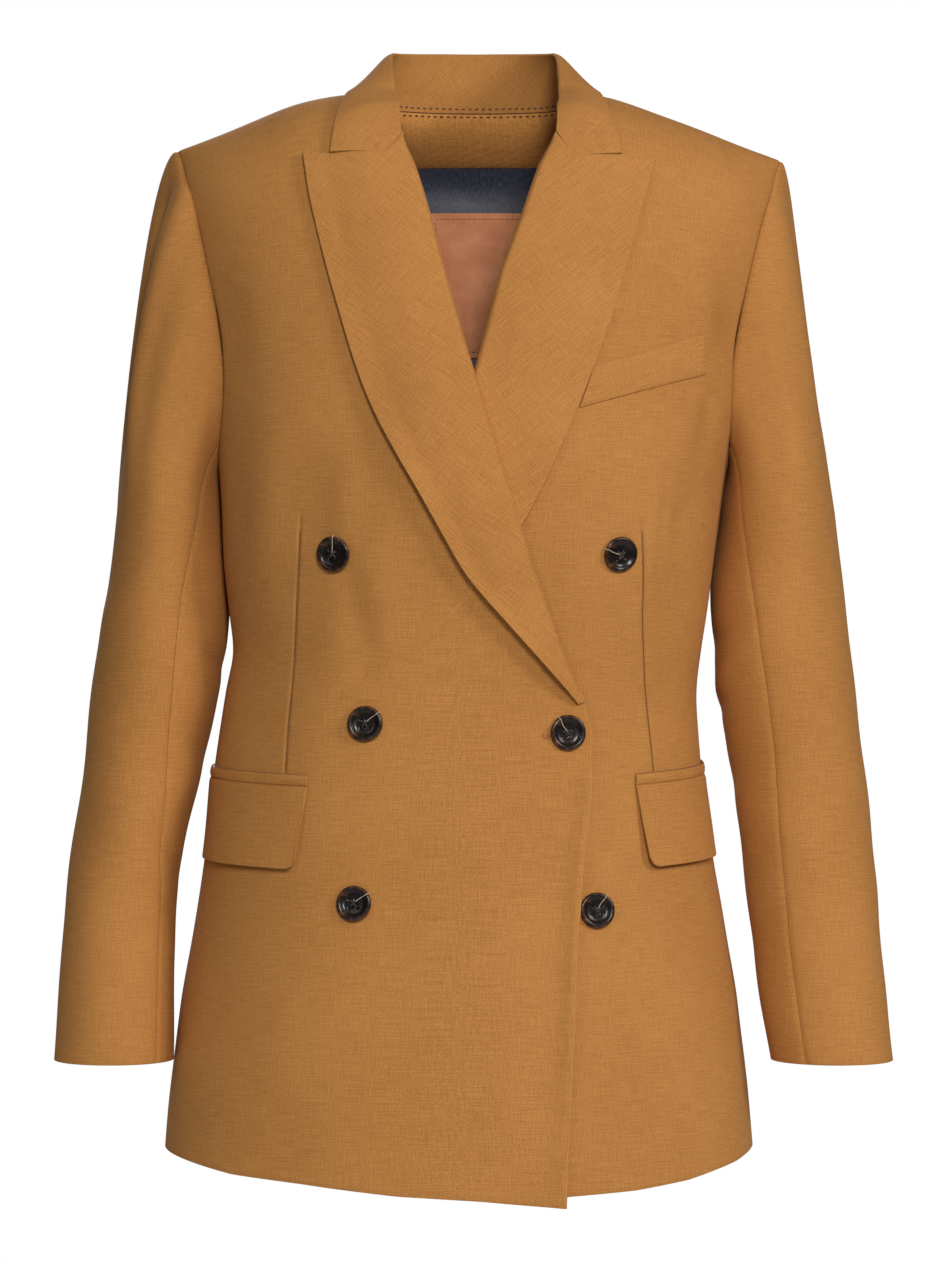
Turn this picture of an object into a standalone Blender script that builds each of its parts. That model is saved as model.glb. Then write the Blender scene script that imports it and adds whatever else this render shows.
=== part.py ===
"""Double breasted blazer, filled out as worn, with nobody in it.

Metres, +Z up. The front faces -Y. The origin is the middle of the neck, at the
height of the neck points, where the wearer's shoulders hold the garment up.
Right and left are the wearer's, so the right side is at -X. The right front
laps over the left one.

The body is one smooth surface, described by level (height at the middle) and
angle (0 at the middle front, 90 degrees at the sides, 180 at the middle back,
negative on the right side). Each panel is a cloth wall over its share of it.
"""
from collections import namedtuple
from functools import lru_cache

import bmesh
import bpy
import numpy as np
from mathutils import Matrix, Vector
from mathutils.bvhtree import BVHTree

NAME = "double_breasted_blazer"

# Cloth and seams
WALL = 0.0015           # thickness of the wool pieces
LINING = 0.0010         # thickness of the lining and of the pocket jets
LEATHER = 0.0012        # thickness of the label patch
SEAM = 0.0003           # gap between two pieces at a seam
LIE = 0.0010            # clearance under a piece that lies on another
LAP_LOW = 0.0026        # how far the right front stands out over the left front
LAP_HIGH = 0.0052       # the same where the left lapel lies between them
LAP_GROWS = (0.170, 0.205)      # depths below the origin between which the lap grows
LAP_THINS = (0.435, 0.500)      # the same, where it thins below the lapels
LAP_RAMP = (0.070, 0.022)       # distances inside the left front's edge, where it rises

# Neck, shoulders and armholes
NECK_HALF = 0.081       # middle to neck point
NECK_BACK = 0.057       # neck point to the back neck seam, along Y
SHOULDER_HALF = 0.205   # middle to shoulder tip
SHOULDER_ROUND = 0.060  # height in which the body rounds over at the shoulders
SHOULDER_SOFT = 0.15    # softness of the shoulder line's start at the neck
RIGHT_RAISE = 0.145     # share of the side drop that the right shoulder doesn't have
RAISE_PLACE = (0.062, 0.135)    # distances from the middle between which that share grows
ARMHOLE_TOP = {"right": -0.0404, "left": -0.0472}
ARMHOLE_BOTTOM = -0.255
ARMHOLE_FRONT = 0.49    # share of the front depth at the armhole's foremost point
ARMHOLE_BACK = 0.55
ARMHOLE_STEP = 15       # degrees between two points round an armhole
SIDE_SEAM_TURN = 10     # degrees that the side seam lies behind the side
SIDE_SEAM_LEVEL = -0.46     # level from which down it has that whole turn
HEM_TURN = 108          # angle at which the hem has reached its level at the back
SHARP_ANGLE = 40        # degrees between faces that meet in a sharp edge
HEM_BACK = -0.711
HEM_FRONT = -0.737      # near the free edges

# Panels
LOWER_ROWS = 12         # rows of the body panels below the armholes
FRONT_COLUMNS = 10
NECK_COLUMNS = 5        # columns of a back panel along the neck seam
BACK_COLUMNS = 5        # columns from the neck point to the side
FRONT_NECK_ROWS = 3     # rows of a front from the neck point to the gorge
FACING_ROWS = 2         # whole rows of the back panel that the neck facing covers
FACING_SHARE = 0.47     # share of the next row that it covers too
LINING_HEM_ROWS = 1     # rows that the lining stops short of the hem

# The body's sections, from the neck points down to the hem
BodyRow = namedtuple(
    "BodyRow", "level side_drop half_width front_depth back_depth squareness middle_x"
)
BODY_ROWS = (
    BodyRow(0.000, -0.047, 0.2050, 0.082, 0.095, 2.50, 0.0036),
    BodyRow(-0.030, -0.042, 0.2045, 0.086, 0.098, 2.50, 0.0036),
    BodyRow(-0.065, -0.032, 0.2005, 0.094, 0.101, 2.50, 0.0036),
    BodyRow(-0.105, -0.022, 0.1950, 0.102, 0.104, 2.50, 0.0034),
    BodyRow(-0.155, -0.012, 0.1875, 0.111, 0.106, 2.45, 0.0030),
    BodyRow(-0.205, -0.004, 0.1790, 0.119, 0.105, 2.40, 0.0020),
    BodyRow(-0.255, 0.000, 0.1710, 0.124, 0.101, 2.40, 0.0005),
    BodyRow(-0.305, 0.000, 0.1655, 0.121, 0.096, 2.40, -0.0010),
    BodyRow(-0.355, 0.000, 0.1605, 0.111, 0.090, 2.40, -0.0030),
    BodyRow(-0.380, 0.000, 0.1580, 0.107, 0.088, 2.40, -0.0040),
    BodyRow(-0.405, 0.000, 0.1590, 0.105, 0.087, 2.40, -0.0080),
    BodyRow(-0.455, 0.000, 0.1640, 0.108, 0.092, 2.40, -0.0105),
    BodyRow(-0.510, 0.000, 0.1706, 0.115, 0.101, 2.40, -0.0100),
    BodyRow(-0.580, 0.000, 0.1820, 0.123, 0.110, 2.40, -0.0095),
    BodyRow(-0.650, 0.000, 0.1925, 0.129, 0.115, 2.40, -0.0095),
    BodyRow(-0.740, 0.000, 0.2005, 0.133, 0.118, 2.40, -0.0098),
)

# The fronts' inner boundary: neckline, roll line, break, then the free edge
EdgeRow = namedtuple("EdgeRow", "level right_x left_x")
EDGE_ROWS = (
    EdgeRow(0.000, -0.0810, 0.0810),
    EdgeRow(-0.004, -0.0775, 0.0785),
    EdgeRow(-0.014, -0.0665, 0.0710),
    EdgeRow(-0.032, -0.0472, 0.0552),
    EdgeRow(-0.060, -0.0382, 0.0430),
    EdgeRow(-0.090, -0.0298, 0.0333),
    EdgeRow(-0.129, -0.0199, 0.0190),
    EdgeRow(-0.189, -0.0030, 0.0036),
    EdgeRow(-0.241, 0.0127, -0.0127),
    EdgeRow(-0.323, 0.0375, -0.0375),
    EdgeRow(-0.359, 0.0500, -0.0500),
    EdgeRow(-0.391, 0.0619, -0.0619),
    EdgeRow(-0.422, 0.0738, -0.0738),
    EdgeRow(-0.430, 0.0758, -0.0758),
    EdgeRow(-0.476, 0.0750, -0.0750),
    EdgeRow(-0.529, 0.0692, -0.0720),
    EdgeRow(-0.560, 0.0668, -0.0710),
    EdgeRow(-0.633, 0.0640, -0.0690),
    EdgeRow(-0.745, 0.0590, -0.0670),
)
ROLL_TOP = -0.0381      # level where the gorge seam meets the roll line
BREAK = -0.4217         # level where the roll line ends at the free edge

# The front hem, by place across (-1 right side, 0 middle, 1 left side)
HemRow = namedtuple("HemRow", "across right left")
HEM_ROWS = (
    HemRow(-1.00, -0.7120, -0.7285),
    HemRow(-0.75, -0.7210, -0.7285),
    HemRow(-0.50, -0.7250, -0.7285),
    HemRow(-0.20, -0.7314, -0.7290),
    HemRow(0.07, -0.7345, -0.7305),
    HemRow(0.34, -0.7395, -0.7325),
    HemRow(0.58, -0.7395, -0.7295),
    HemRow(0.76, -0.7395, -0.7247),
    HemRow(0.93, -0.7395, -0.7165),
    HemRow(1.00, -0.7395, -0.7110),
)

# Lapels, seen from the front: the top line from the roll line out to the peak,
# then the outer edge from the peak down to the break
LAPEL_TOP = {
    "right": [(-0.0491, -0.0381), (-0.0582, -0.0512), (-0.0933, -0.0523), (-0.1114, -0.0508)],
    "left": [(0.0544, -0.0366), (0.0648, -0.0542), (0.0965, -0.0536), (0.1192, -0.0549)],
}
LAPEL_EDGE = {
    "right": [
        (-0.1114, -0.0508), (-0.1056, -0.0837), (-0.0934, -0.1332), (-0.0767, -0.1890),
        (-0.0609, -0.2279), (-0.0330, -0.2765), (-0.0088, -0.3191), (0.0042, -0.3366),
        (0.0370, -0.3760), (0.0740, -0.4224),
    ],
    "left": [
        (0.1192, -0.0549), (0.1143, -0.0702), (0.1041, -0.1079), (0.0906, -0.1553),
        (0.0773, -0.1930), (0.0563, -0.2449), (0.0335, -0.2912), (0.0060, -0.3320),
        (-0.0370, -0.3790), (-0.0740, -0.4224),
    ],
}
LAPEL_ROWS = 16
LAPEL_ROW_GROWTH = 1.35     # power by which the rows lie closer together at the top
LAPEL_COLUMNS = 5
LAPEL_SAG_FADE = 6      # power by which the top line's shape fades down the lapel
LAPEL_TIP = 0.975       # share of the roll line where the lapel's narrow end stops
LAPEL_OVER = 0.0012     # how far a lapel covers the front's folded edge
LAPEL_ROLL = 0.0030     # how far the soft roll stands off the front
LAPEL_FADE = {"right": (0.60, 1.00), "left": (0.30, 0.52)}      # where the roll flattens

# The collar, from the middle back (first row) to the gorge (last row), one side
CollarRow = namedtuple("CollarRow", "fold_x fold_y fold_z edge_x edge_y")
COLLAR_ROWS = (
    CollarRow(0.0000, 0.0600, 0.0330, 0.0000, 0.0790),
    CollarRow(0.0220, 0.0570, 0.0325, 0.0250, 0.0765),
    CollarRow(0.0390, 0.0480, 0.0305, 0.0480, 0.0680),
    CollarRow(0.0500, 0.0340, 0.0275, 0.0660, 0.0520),
    CollarRow(0.0555, 0.0180, 0.0235, 0.0770, 0.0290),
    CollarRow(0.0565, 0.0000, 0.0175, 0.0835, 0.0020),
    CollarRow(0.0545, -0.0240, 0.0060, 0.0860, -0.0260),
    CollarRow(0.0510, -0.0500, -0.0130, 0.0900, -0.0560),
    CollarRow(0.0480, -0.0765, -0.0345, 0.0933, -0.0810),
)
LEAF_RISE = 0.0052      # outer face of the leaf's edge above the shoulder
LEAF_CROWN = 0.0055     # how far the leaf bulges over the fold at the back
LEAF_CROWN_SIDE = -0.0010   # the same at the neck point
LEAF_CROWN_PLACE = 0.45     # where it bulges most, as a share from the fold to the edge
LEAF_BULGE = 0.0020     # the same where the leaf lies on the front
LEAF_COLUMNS = 5
LEAF_FRONT_ROW = 6      # first collar row that lies on the front
STAND_COLUMNS = 3
STAND_DROP = 0.0042     # the stand's top edge below the fold
STAND_INSIDE = 0.98     # its foot lies this much nearer the neck than the seam

# Sleeves below the armhole, on each side: section places and sizes, and the
# turn of the front seam (0 outer side, 90 front, 180 inner side)
SleeveRow = namedtuple(
    "SleeveRow",
    "level out_right half_right seam_right out_left half_left seam_left depth_y half_depth",
)
SLEEVE_ROWS = (
    SleeveRow(-0.285, 0.2054, 0.0363, 128, 0.2062, 0.0390, 134, 0.012, 0.064),
    SleeveRow(-0.330, 0.2070, 0.0411, 110, 0.2065, 0.0441, 119, 0.014, 0.060),
    SleeveRow(-0.378, 0.2114, 0.0434, 107, 0.2095, 0.0465, 112, 0.006, 0.056),
    SleeveRow(-0.446, 0.2216, 0.0414, 116, 0.2175, 0.0461, 112, -0.002, 0.051),
    SleeveRow(-0.514, 0.2334, 0.0375, 131, 0.2252, 0.0442, 117, -0.010, 0.047),
    SleeveRow(-0.548, 0.2373, 0.0368, 141, 0.2283, 0.0436, 118, -0.016, 0.0455),
    SleeveRow(-0.582, 0.2392, 0.0382, 141, 0.2315, 0.0429, 119, -0.022, 0.044),
    SleeveRow(-0.652, 0.2408, 0.0401, 139, 0.2402, 0.0414, 119, -0.034, 0.0415),
)
CAP_STEPS = (0.0, 0.12, 0.30, 0.52, 0.76)
SLEEVE_STEPS = 8
CAP_CLEAR = 0.00045     # sleeve's start out from the armhole's edge
TIP_CLEAR = 0.0007      # the same, added at the shoulder tip
BACK_SEAM_TURN = 255
FRONT_SEAM_TURN = 150   # where the front seam starts at the armhole
CAP_TOP_REACH = {"right": 0.017, "left": 0.008}     # run of the sleeve head before it drops
CAP_TOP_LEAN = {"right": 0.05, "left": 0.16}        # its slope outwards further down
CAP_SIDE_REACH = 0.022
CAP_UNDER_REACH = 0.009
CAP_TOP_HANG = 0.105
CAP_SIDE_HANG = 0.070
CAP_UNDER_HANG = 0.014
CAP_DROP = 0.26         # slope down at which the sleeve head sets out
CAP_UNDER_DROP = 0.25   # the same, added under the arm
CAP_TURN_IN = 0.30      # slope towards the sleeve's middle at the front and back

# Pockets: the inner top corner, then sizes along the girth and down
PocketRow = namedtuple("PocketRow", "side corner_x corner_level rise")
POCKET_ROWS = (
    PocketRow("right", -0.1073, -0.4672, 0.0050),
    PocketRow("left", 0.1067, -0.4664, 0.0080),
)
FLAP_WIDTH = 0.128
FLAP_HEIGHT = 0.055
FLAP_LEAN = 0.0085      # how far the flap's inner edge leans outwards
FLAP_CORNER = 0.010
FLAP_STAND = 0.0016     # how far the flap's lower edge stands off
FLAP_LIES = (0.35, 0.80)    # shares of its width between which it comes to lie flat
FLAP_COLUMNS = 10
FLAP_ROWS = 4
JET_HEIGHT = 0.0062

# Breast welt corners, seen from the front
WELT_TOP = [(0.0783, -0.1934), (0.1494, -0.1712)]
WELT_BOTTOM = [(0.0692, -0.2197), (0.1515, -0.1960)]
WELT_COLUMNS = 7
WELT_ROWS = 2

# The label patch on the lining: two corners as x and level
LABEL_LOW = (-0.030, -0.174)
LABEL_HIGH = (0.055, -0.073)
LABEL_COLUMNS = 4
LABEL_ROWS = 4

# Buttons: centre seen from the front, and the panel that carries each one
ButtonRow = namedtuple("ButtonRow", "x z side")
BUTTON_ROWS = (
    ButtonRow(-0.0905, -0.3150, "right"),
    ButtonRow(0.0952, -0.3149, "left"),
    ButtonRow(-0.0704, -0.4262, "right"),
    ButtonRow(0.0613, -0.4321, "right"),
    ButtonRow(-0.0773, -0.5433, "right"),
    ButtonRow(0.0801, -0.5481, "left"),
)
BUTTON_RADIUS = 0.0118
BUTTON_SEGMENTS = 16
BUTTON_HOLE_RADIUS = 0.0011
BUTTON_HOLE_PLACE = 0.0021
BUTTON_HOLE_SIDES = 6
BUTTON_CLEAR = 0.0004
CUTTER_DEPTH = 0.012
# Turned profile: distance from the axis, height
BUTTON_PROFILE = [
    (0.0000, 0.0026), (0.0070, 0.0026), (0.0094, 0.0042), (0.0112, 0.0040),
    (0.0118, 0.0025), (0.0092, 0.0004), (0.0000, 0.0000),
]

# Large soft folds of the cloth: both ends seen from the front, width and height
FoldRow = namedtuple("FoldRow", "x_top z_top x_bottom z_bottom width height")
FOLD_ROWS = (
    FoldRow(0.131, -0.245, 0.112, -0.370, 0.012, 0.0022),
    FoldRow(0.150, -0.250, 0.130, -0.330, 0.012, -0.0018),
    FoldRow(-0.140, -0.260, -0.150, -0.420, 0.016, -0.0015),
    FoldRow(-0.120, -0.560, -0.135, -0.700, 0.022, 0.0020),
    FoldRow(0.120, -0.560, 0.130, -0.700, 0.022, 0.0020),
)
# Soft folds round the sleeves: side, level, turn in degrees, slant, width, height
SleeveFold = namedtuple("SleeveFold", "side level turn slant width height")
SLEEVE_FOLDS = (
    SleeveFold("right", -0.340, 60, 0.030, 0.014, 0.0020),
    SleeveFold("right", -0.440, 150, -0.030, 0.014, -0.0022),
    SleeveFold("right", -0.480, 120, 0.035, 0.016, 0.0020),
    SleeveFold("left", -0.400, 160, -0.035, 0.014, 0.0022),
    SleeveFold("left", -0.455, 150, -0.030, 0.014, -0.0022),
    SleeveFold("left", -0.520, 60, 0.030, 0.018, 0.0018),
)

# Materials: colour, roughness
WOOL = ("wool", (0.46, 0.23, 0.07, 1.0), 0.80)
LAPEL_WOOL = ("lapel_wool", (0.48, 0.24, 0.075, 1.0), 0.78)
SATIN = ("lining_satin", (0.020, 0.026, 0.055, 1.0), 0.38)
PATCH = ("leather", (0.50, 0.22, 0.11, 1.0), 0.60)
HORN = ("button_horn", (0.030, 0.018, 0.012, 1.0), 0.18)

SIGN = {"right": -1.0, "left": 1.0}


@lru_cache(maxsize=None)
def column_of(rows, column):
    """A table's first column, rising, with one of its columns and that one's slopes."""
    keys = np.array([row[0] for row in rows])
    values = np.array([getattr(row, column) for row in rows])
    if keys[0] > keys[-1]:
        keys, values = keys[::-1], values[::-1]
    return keys, values, np.gradient(values, keys)


def interpolate(rows, column, at):
    """A smooth curve through a table's column, over its first column."""
    keys, values, slopes = column_of(rows, column)
    low = int(min(max(keys.searchsorted(at) - 1, 0), len(keys) - 2))
    step = keys[low + 1] - keys[low]
    t = min(max((at - keys[low]) / step, 0.0), 1.0)
    return (
        (2 * t**3 - 3 * t**2 + 1) * values[low]
        + (t**3 - 2 * t**2 + t) * step * slopes[low]
        + (3 * t**2 - 2 * t**3) * values[low + 1]
        + (t**3 - t**2) * step * slopes[low + 1]
    )


def linear(rows, column, at):
    """Straight lines through a table's column, over its first column."""
    keys, values, _ = column_of(rows, column)
    return float(np.interp(at, keys, values))


def blend(low, high, at):
    """0 below low, 1 above high, smooth between."""
    t = min(max((at - low) / (high - low), 0.0), 1.0)
    return t * t * (3 - 2 * t)


def along(points, share):
    """The point at a share of a polyline's length."""
    points = np.array(points, float)
    steps = np.linalg.norm(np.diff(points, axis=0), axis=1)
    lengths = np.concatenate([[0.0], np.cumsum(steps)])
    at = share * lengths[-1]
    return np.array([np.interp(at, lengths, points[:, k]) for k in range(points.shape[1])])


# The body surface

@lru_cache(maxsize=None)
def body_section(level):
    """The section's measures at a level, with the depths rounded over at the top."""
    at = {name: interpolate(BODY_ROWS, name, level) for name in BodyRow._fields[1:]}
    t = min(1.0, max(0.0, -level / SHOULDER_ROUND))
    over = np.sqrt(max(0.0, 1 - (1 - t) ** 2))
    at["front_depth"] *= over
    at["back_depth"] *= over
    return at


def shoulder_share(across):
    """How much of the side drop applies at a place across, right side negative."""
    t = (abs(across) - NECK_HALF) / (SHOULDER_HALF - NECK_HALF)
    return (np.hypot(t, SHOULDER_SOFT) + t) / 2 - RIGHT_RAISE * blend(*RAISE_PLACE, -across)


def body_base(angle, level):
    """A point of the body surface."""
    at = body_section(level)
    power = 2 / at["squareness"]
    sine, cosine = np.sin(angle), np.cos(angle)
    across = at["half_width"] * np.sign(sine) * abs(sine) ** power
    depth = at["front_depth"] if cosine > 0 else at["back_depth"]
    y = -np.sign(cosine) * depth * abs(cosine) ** power
    z = level + at["side_drop"] * shoulder_share(across)
    return np.array([at["middle_x"] + across, y, z])


def body_normal(angle, level):
    """The unit vector out of the body surface."""
    turn, drop = 0.004, 0.0008
    if level > -0.0001:
        seam = body_base(angle, 0.0) - body_base(0.8 * angle, 0.0)
        normal = np.array([-seam[2], 0.0, seam[0]]) * np.sign(seam[0])
        return normal / np.linalg.norm(normal)
    round_it = body_base(angle + turn, level) - body_base(angle - turn, level)
    down = body_base(angle, level - drop) - body_base(angle, min(0.0, level + drop))
    normal = np.cross(down, round_it)
    return normal / np.linalg.norm(normal)


def fold_relief(x, z):
    """How far the soft folds lift the cloth at a place seen from the front."""
    total = 0.0
    for fold in FOLD_ROWS:
        length = fold.z_top - fold.z_bottom
        share = (fold.z_top - z) / length
        if not 0 < share < 1:
            continue
        centre = fold.x_top + (fold.x_bottom - fold.x_top) * share
        ends = np.sin(np.pi * share) ** 2
        total += fold.height * ends * np.exp(-(((x - centre) / fold.width) ** 2))
    return total


def body_point(angle, level, out=0.0):
    """A point that lies out from the body surface, with its soft folds."""
    base = body_base(angle, level)
    if abs(angle) < np.pi / 2:
        out = out + fold_relief(base[0], base[2])
    return base + out * body_normal(angle, level)


def angle_of_x(x, level):
    """The front angle at which the surface passes a given x."""
    at = body_section(level)
    share = np.clip((x - at["middle_x"]) / at["half_width"], -1.0, 1.0)
    return np.sign(share) * np.arcsin(abs(share) ** (at["squareness"] / 2))


def level_of_z(x, z):
    """The level whose section passes a given height at a given x."""
    level = z
    for _ in range(40):
        at = body_section(min(level, 0.0))
        level = z - at["side_drop"] * shoulder_share(x - at["middle_x"])
    return min(level, 0.0)


def height_at(x, y):
    """Height of the shoulder surface over a place seen from above."""
    low, high = -0.20, 0.0
    for _ in range(40):
        middle = (low + high) / 2
        at = body_section(middle)
        share = min(1.0, abs(x - at["middle_x"]) / at["half_width"])
        depth = at["front_depth"] if y < 0 else at["back_depth"]
        reach = depth * (1 - share ** at["squareness"]) ** (1 / at["squareness"])
        if reach > abs(y):
            low = middle
        else:
            high = middle
    at = body_section(low)
    return low + at["side_drop"] * shoulder_share(x - at["middle_x"])


def angle_along(start, level, distance):
    """The angle that lies a distance further round the body from a start angle."""
    angles = start + np.sign(distance) * np.linspace(0.0, 2.2, 90)
    points = np.array([body_base(a, level) for a in angles])
    lengths = np.concatenate([[0.0], np.cumsum(np.linalg.norm(np.diff(points, axis=0), axis=1))])
    return float(np.interp(abs(distance), lengths, angles))


def edge_x(side, level):
    """The front's inner boundary at a level."""
    return linear(EDGE_ROWS, side + "_x", level)


def lap(x, level):
    """How far the right front stands out to lie over the left one."""
    if -level < LAP_GROWS[0]:
        return 0.0
    under = edge_x("left", level)
    high = LAP_HIGH + (LAP_LOW - LAP_HIGH) * blend(*LAP_THINS, -level)
    ramp = blend(under - LAP_RAMP[0], under - LAP_RAMP[1], x)
    return high * blend(*LAP_GROWS, -level) * ramp


def front_out(side, x, level):
    """How far a front's outer face lies out from the body surface."""
    return lap(x, level) if side == "right" else 0.0


def on_front(side, x, z, out=0.0):
    """A point on a front's outer face, or further out, and the normal there."""
    level = level_of_z(x, z)
    angle = angle_of_x(x, level)
    point = body_point(angle, level, front_out(side, x, level) + out)
    return point, body_normal(angle, level)


# Armholes

def armhole(side, degrees):
    """Angle and level on the body at a turn round the armhole, 0 at its top."""
    turn = np.radians(degrees)
    middle = (ARMHOLE_TOP[side] + ARMHOLE_BOTTOM) / 2
    z = middle + (ARMHOLE_TOP[side] - middle) * np.cos(turn)
    most = ARMHOLE_FRONT if np.sin(turn) >= 0 else ARMHOLE_BACK
    power = 0.5 if np.cos(turn) > 0 else 0.5 - 0.5 * np.cos(turn)
    share = most * max(0.0, abs(np.sin(turn)) - 1e-9) ** power
    level = z
    for _ in range(60):
        at = body_section(min(level, 0.0))
        across = at["half_width"] * (1 - share ** at["squareness"]) ** (1 / at["squareness"])
        level = z - at["side_drop"] * shoulder_share(SIGN[side] * across)
    level = min(level, 0.0)
    if abs(degrees % 360) < 1e-6:
        level = 0.0
    angle = np.arccos(share ** (body_section(level)["squareness"] / 2))
    if np.sin(turn) < 0:
        angle = np.pi - angle
    return SIGN[side] * angle, level


def side_angle(side, level):
    """The side seam's angle below the armhole."""
    extra = np.radians(SIDE_SEAM_TURN) * blend(-ARMHOLE_BOTTOM, -SIDE_SEAM_LEVEL, -level)
    return SIGN[side] * (np.pi / 2 + extra)


def hem_level(side, angle):
    """The hem's level under a front, or under the back."""
    power = 2 / BODY_ROWS[-1].squareness
    across = np.sign(angle) * abs(np.sin(angle)) ** power
    if abs(angle) <= np.pi / 2:
        return linear(HEM_ROWS, side, across)
    end = linear(HEM_ROWS, side, SIGN[side])
    return end + (HEM_BACK - end) * blend(np.pi / 2, np.radians(HEM_TURN), abs(angle))


# Cloth walls

def unit(vectors):
    return vectors / np.linalg.norm(vectors, axis=-1, keepdims=True)


def trimmed(points, amount, edges):
    """A grid with the named edges drawn in by an amount."""
    points = points.copy()
    original = points.copy()
    if "top" in edges:
        points[0] += amount * unit(original[1] - original[0])
    if "bottom" in edges:
        points[-1] += amount * unit(original[-2] - original[-1])
    if "first" in edges:
        points[:, 0] += amount * unit(original[:, 1] - original[:, 0])
    if "last" in edges:
        points[:, -1] += amount * unit(original[:, -2] - original[:, -1])
    return points


def grid_normals(points):
    """Unit vectors out of an open grid, whose rows run down and columns across."""
    down = np.gradient(points, axis=0)
    across = np.gradient(points, axis=1)
    return unit(np.cross(down, across))


def add_wall(name, outer, normals, thickness, material, middle=0):
    """A closed cloth wall between a grid of outer points and its inner face.

    The cells' diagonals run down and away from the middle column.
    """
    rows, columns = outer.shape[:2]
    inner = outer - thickness * normals
    bm = bmesh.new()
    out_verts = [[bm.verts.new(p) for p in row] for row in outer]
    in_verts = [[bm.verts.new(p) for p in row] for row in inner]
    for r in range(rows - 1):
        for c in range(columns - 1):
            around = ((r, c), (r + 1, c), (r + 1, c + 1), (r, c + 1))
            if c < middle:
                around = around[1:] + around[:1]
            for half in (around[:3], (around[0], around[2], around[3])):
                bm.faces.new([out_verts[i][j] for i, j in half])
                bm.faces.new([in_verts[i][j] for i, j in reversed(half)])
    rim = [(0, c) for c in range(columns)]
    rim += [(r, columns - 1) for r in range(1, rows)]
    rim += [(rows - 1, c) for c in range(columns - 2, -1, -1)]
    rim += [(r, 0) for r in range(rows - 2, 0, -1)]
    for (a, b), (c, d) in zip(rim, rim[1:] + rim[:1]):
        bm.faces.new((out_verts[a][b], out_verts[c][d], in_verts[c][d], in_verts[a][b]))
    bmesh.ops.recalc_face_normals(bm, faces=bm.faces)
    return add_object(name, bm, material)


def add_object(name, bm, material):
    """Turn a bmesh into a named object of the blazer's collection."""
    mesh = bpy.data.meshes.new(name)
    bm.to_mesh(mesh)
    bm.free()
    mesh.shade_smooth()
    mesh.set_sharp_from_angle(angle=np.radians(SHARP_ANGLE))
    mesh.materials.append(get_material(*material))
    item = bpy.data.objects.new(name, mesh)
    bpy.data.collections[NAME].objects.link(item)
    return item


def get_material(name, colour, roughness):
    """The Principled material of that name, made once."""
    if name in bpy.data.materials:
        return bpy.data.materials[name]
    material = bpy.data.materials.new(name)
    material.use_nodes = True
    shader = material.node_tree.nodes["Principled BSDF"]
    shader.inputs["Base Color"].default_value = colour
    shader.inputs["Roughness"].default_value = roughness
    shader.inputs["Metallic"].default_value = 0.0
    return material


# Panels of the body

def front_places(side):
    """Angle and level of each grid point of a front, rows down, columns outwards."""
    places = []
    for degrees in range(0, 181, ARMHOLE_STEP):
        end, level = armhole(side, degrees)
        start = angle_of_x(edge_x(side, level), level)
        shares = np.linspace(0, 1, FRONT_COLUMNS + 1)
        places.append([(start + (end - start) * s, level) for s in shares])
    underarm = places[-1][0][1]
    for r in range(1, LOWER_ROWS + 1):
        inner = underarm + (HEM_FRONT - underarm) * r / LOWER_ROWS
        start = angle_of_x(edge_x(side, inner), inner)
        end = side_angle(side, underarm + (HEM_BACK - underarm) * r / LOWER_ROWS)
        row = []
        for s in np.linspace(0, 1, FRONT_COLUMNS + 1):
            angle = start + (end - start) * s
            hem = hem_level(side, angle)
            row.append((angle, underarm + (hem - underarm) * r / LOWER_ROWS))
        places.append(row)
    return places


def neck_places():
    """Share of the quarter turn and level of the back neck seam at its columns."""
    at = body_section(0.0)
    places = []
    for turn in np.linspace(0, np.pi / 2, NECK_COLUMNS + 1):
        share = NECK_HALF * np.sin(turn) / at["half_width"]
        quarter = np.arcsin(share ** (at["squareness"] / 2))
        low, high = -SHOULDER_ROUND, 0.0
        for _ in range(40):
            middle = (low + high) / 2
            deep = body_section(middle)["back_depth"] > NECK_BACK * np.cos(turn)
            low, high = (middle, high) if deep else (low, middle)
        places.append((quarter / (np.pi / 2), low))
    places[-1] = (places[-1][0], 0.0)
    return places


def back_places(side):
    """Angle and level of each grid point of a back, from the middle back outwards."""
    neck = neck_places()
    tops = [level for _, level in neck] + [0.0] * BACK_COLUMNS
    turns = [-degrees for degrees in range(0, 181, ARMHOLE_STEP)]
    places = []
    underarm = armhole(side, 180)[1]
    shares = [share for share, _ in neck]
    shares += list(np.linspace(shares[-1], 1, BACK_COLUMNS + 1))[1:]
    for degrees in turns:
        end, level = armhole(side, degrees)
        fade = 1 - level / underarm
        row = []
        for share, top in zip(shares, tops):
            angle = SIGN[side] * (np.pi + (abs(end) - np.pi) * share)
            row.append((angle, level + top * fade))
        places.append(row)
    for r in range(1, LOWER_ROWS + 1):
        end = side_angle(side, underarm + (HEM_BACK - underarm) * r / LOWER_ROWS)
        row = []
        for share in shares:
            angle = SIGN[side] * (np.pi + (abs(end) - np.pi) * share)
            hem = hem_level(side, angle)
            row.append((angle, underarm + (hem - underarm) * r / LOWER_ROWS))
        places.append(row)
    return places


def surface_grid(places, out):
    """Points and normals over a grid of angles and levels."""
    points, normals = [], []
    for row in places:
        points.append([body_point(a, l, out(a, l)) for a, l in row])
        normals.append([body_normal(a, l) for a, l in row])
    return np.array(points), np.array(normals)


def build_front(side):
    """One front: its shoulder, armhole and side seams touch other panels."""
    def out(angle, level):
        return front_out(side, body_base(angle, level)[0], level)

    points, normals = surface_grid(front_places(side), out)
    points = trimmed(points, SEAM / 2, ("top", "last"))
    add_wall("front_" + side, points, normals, WALL, WOOL)


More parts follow.
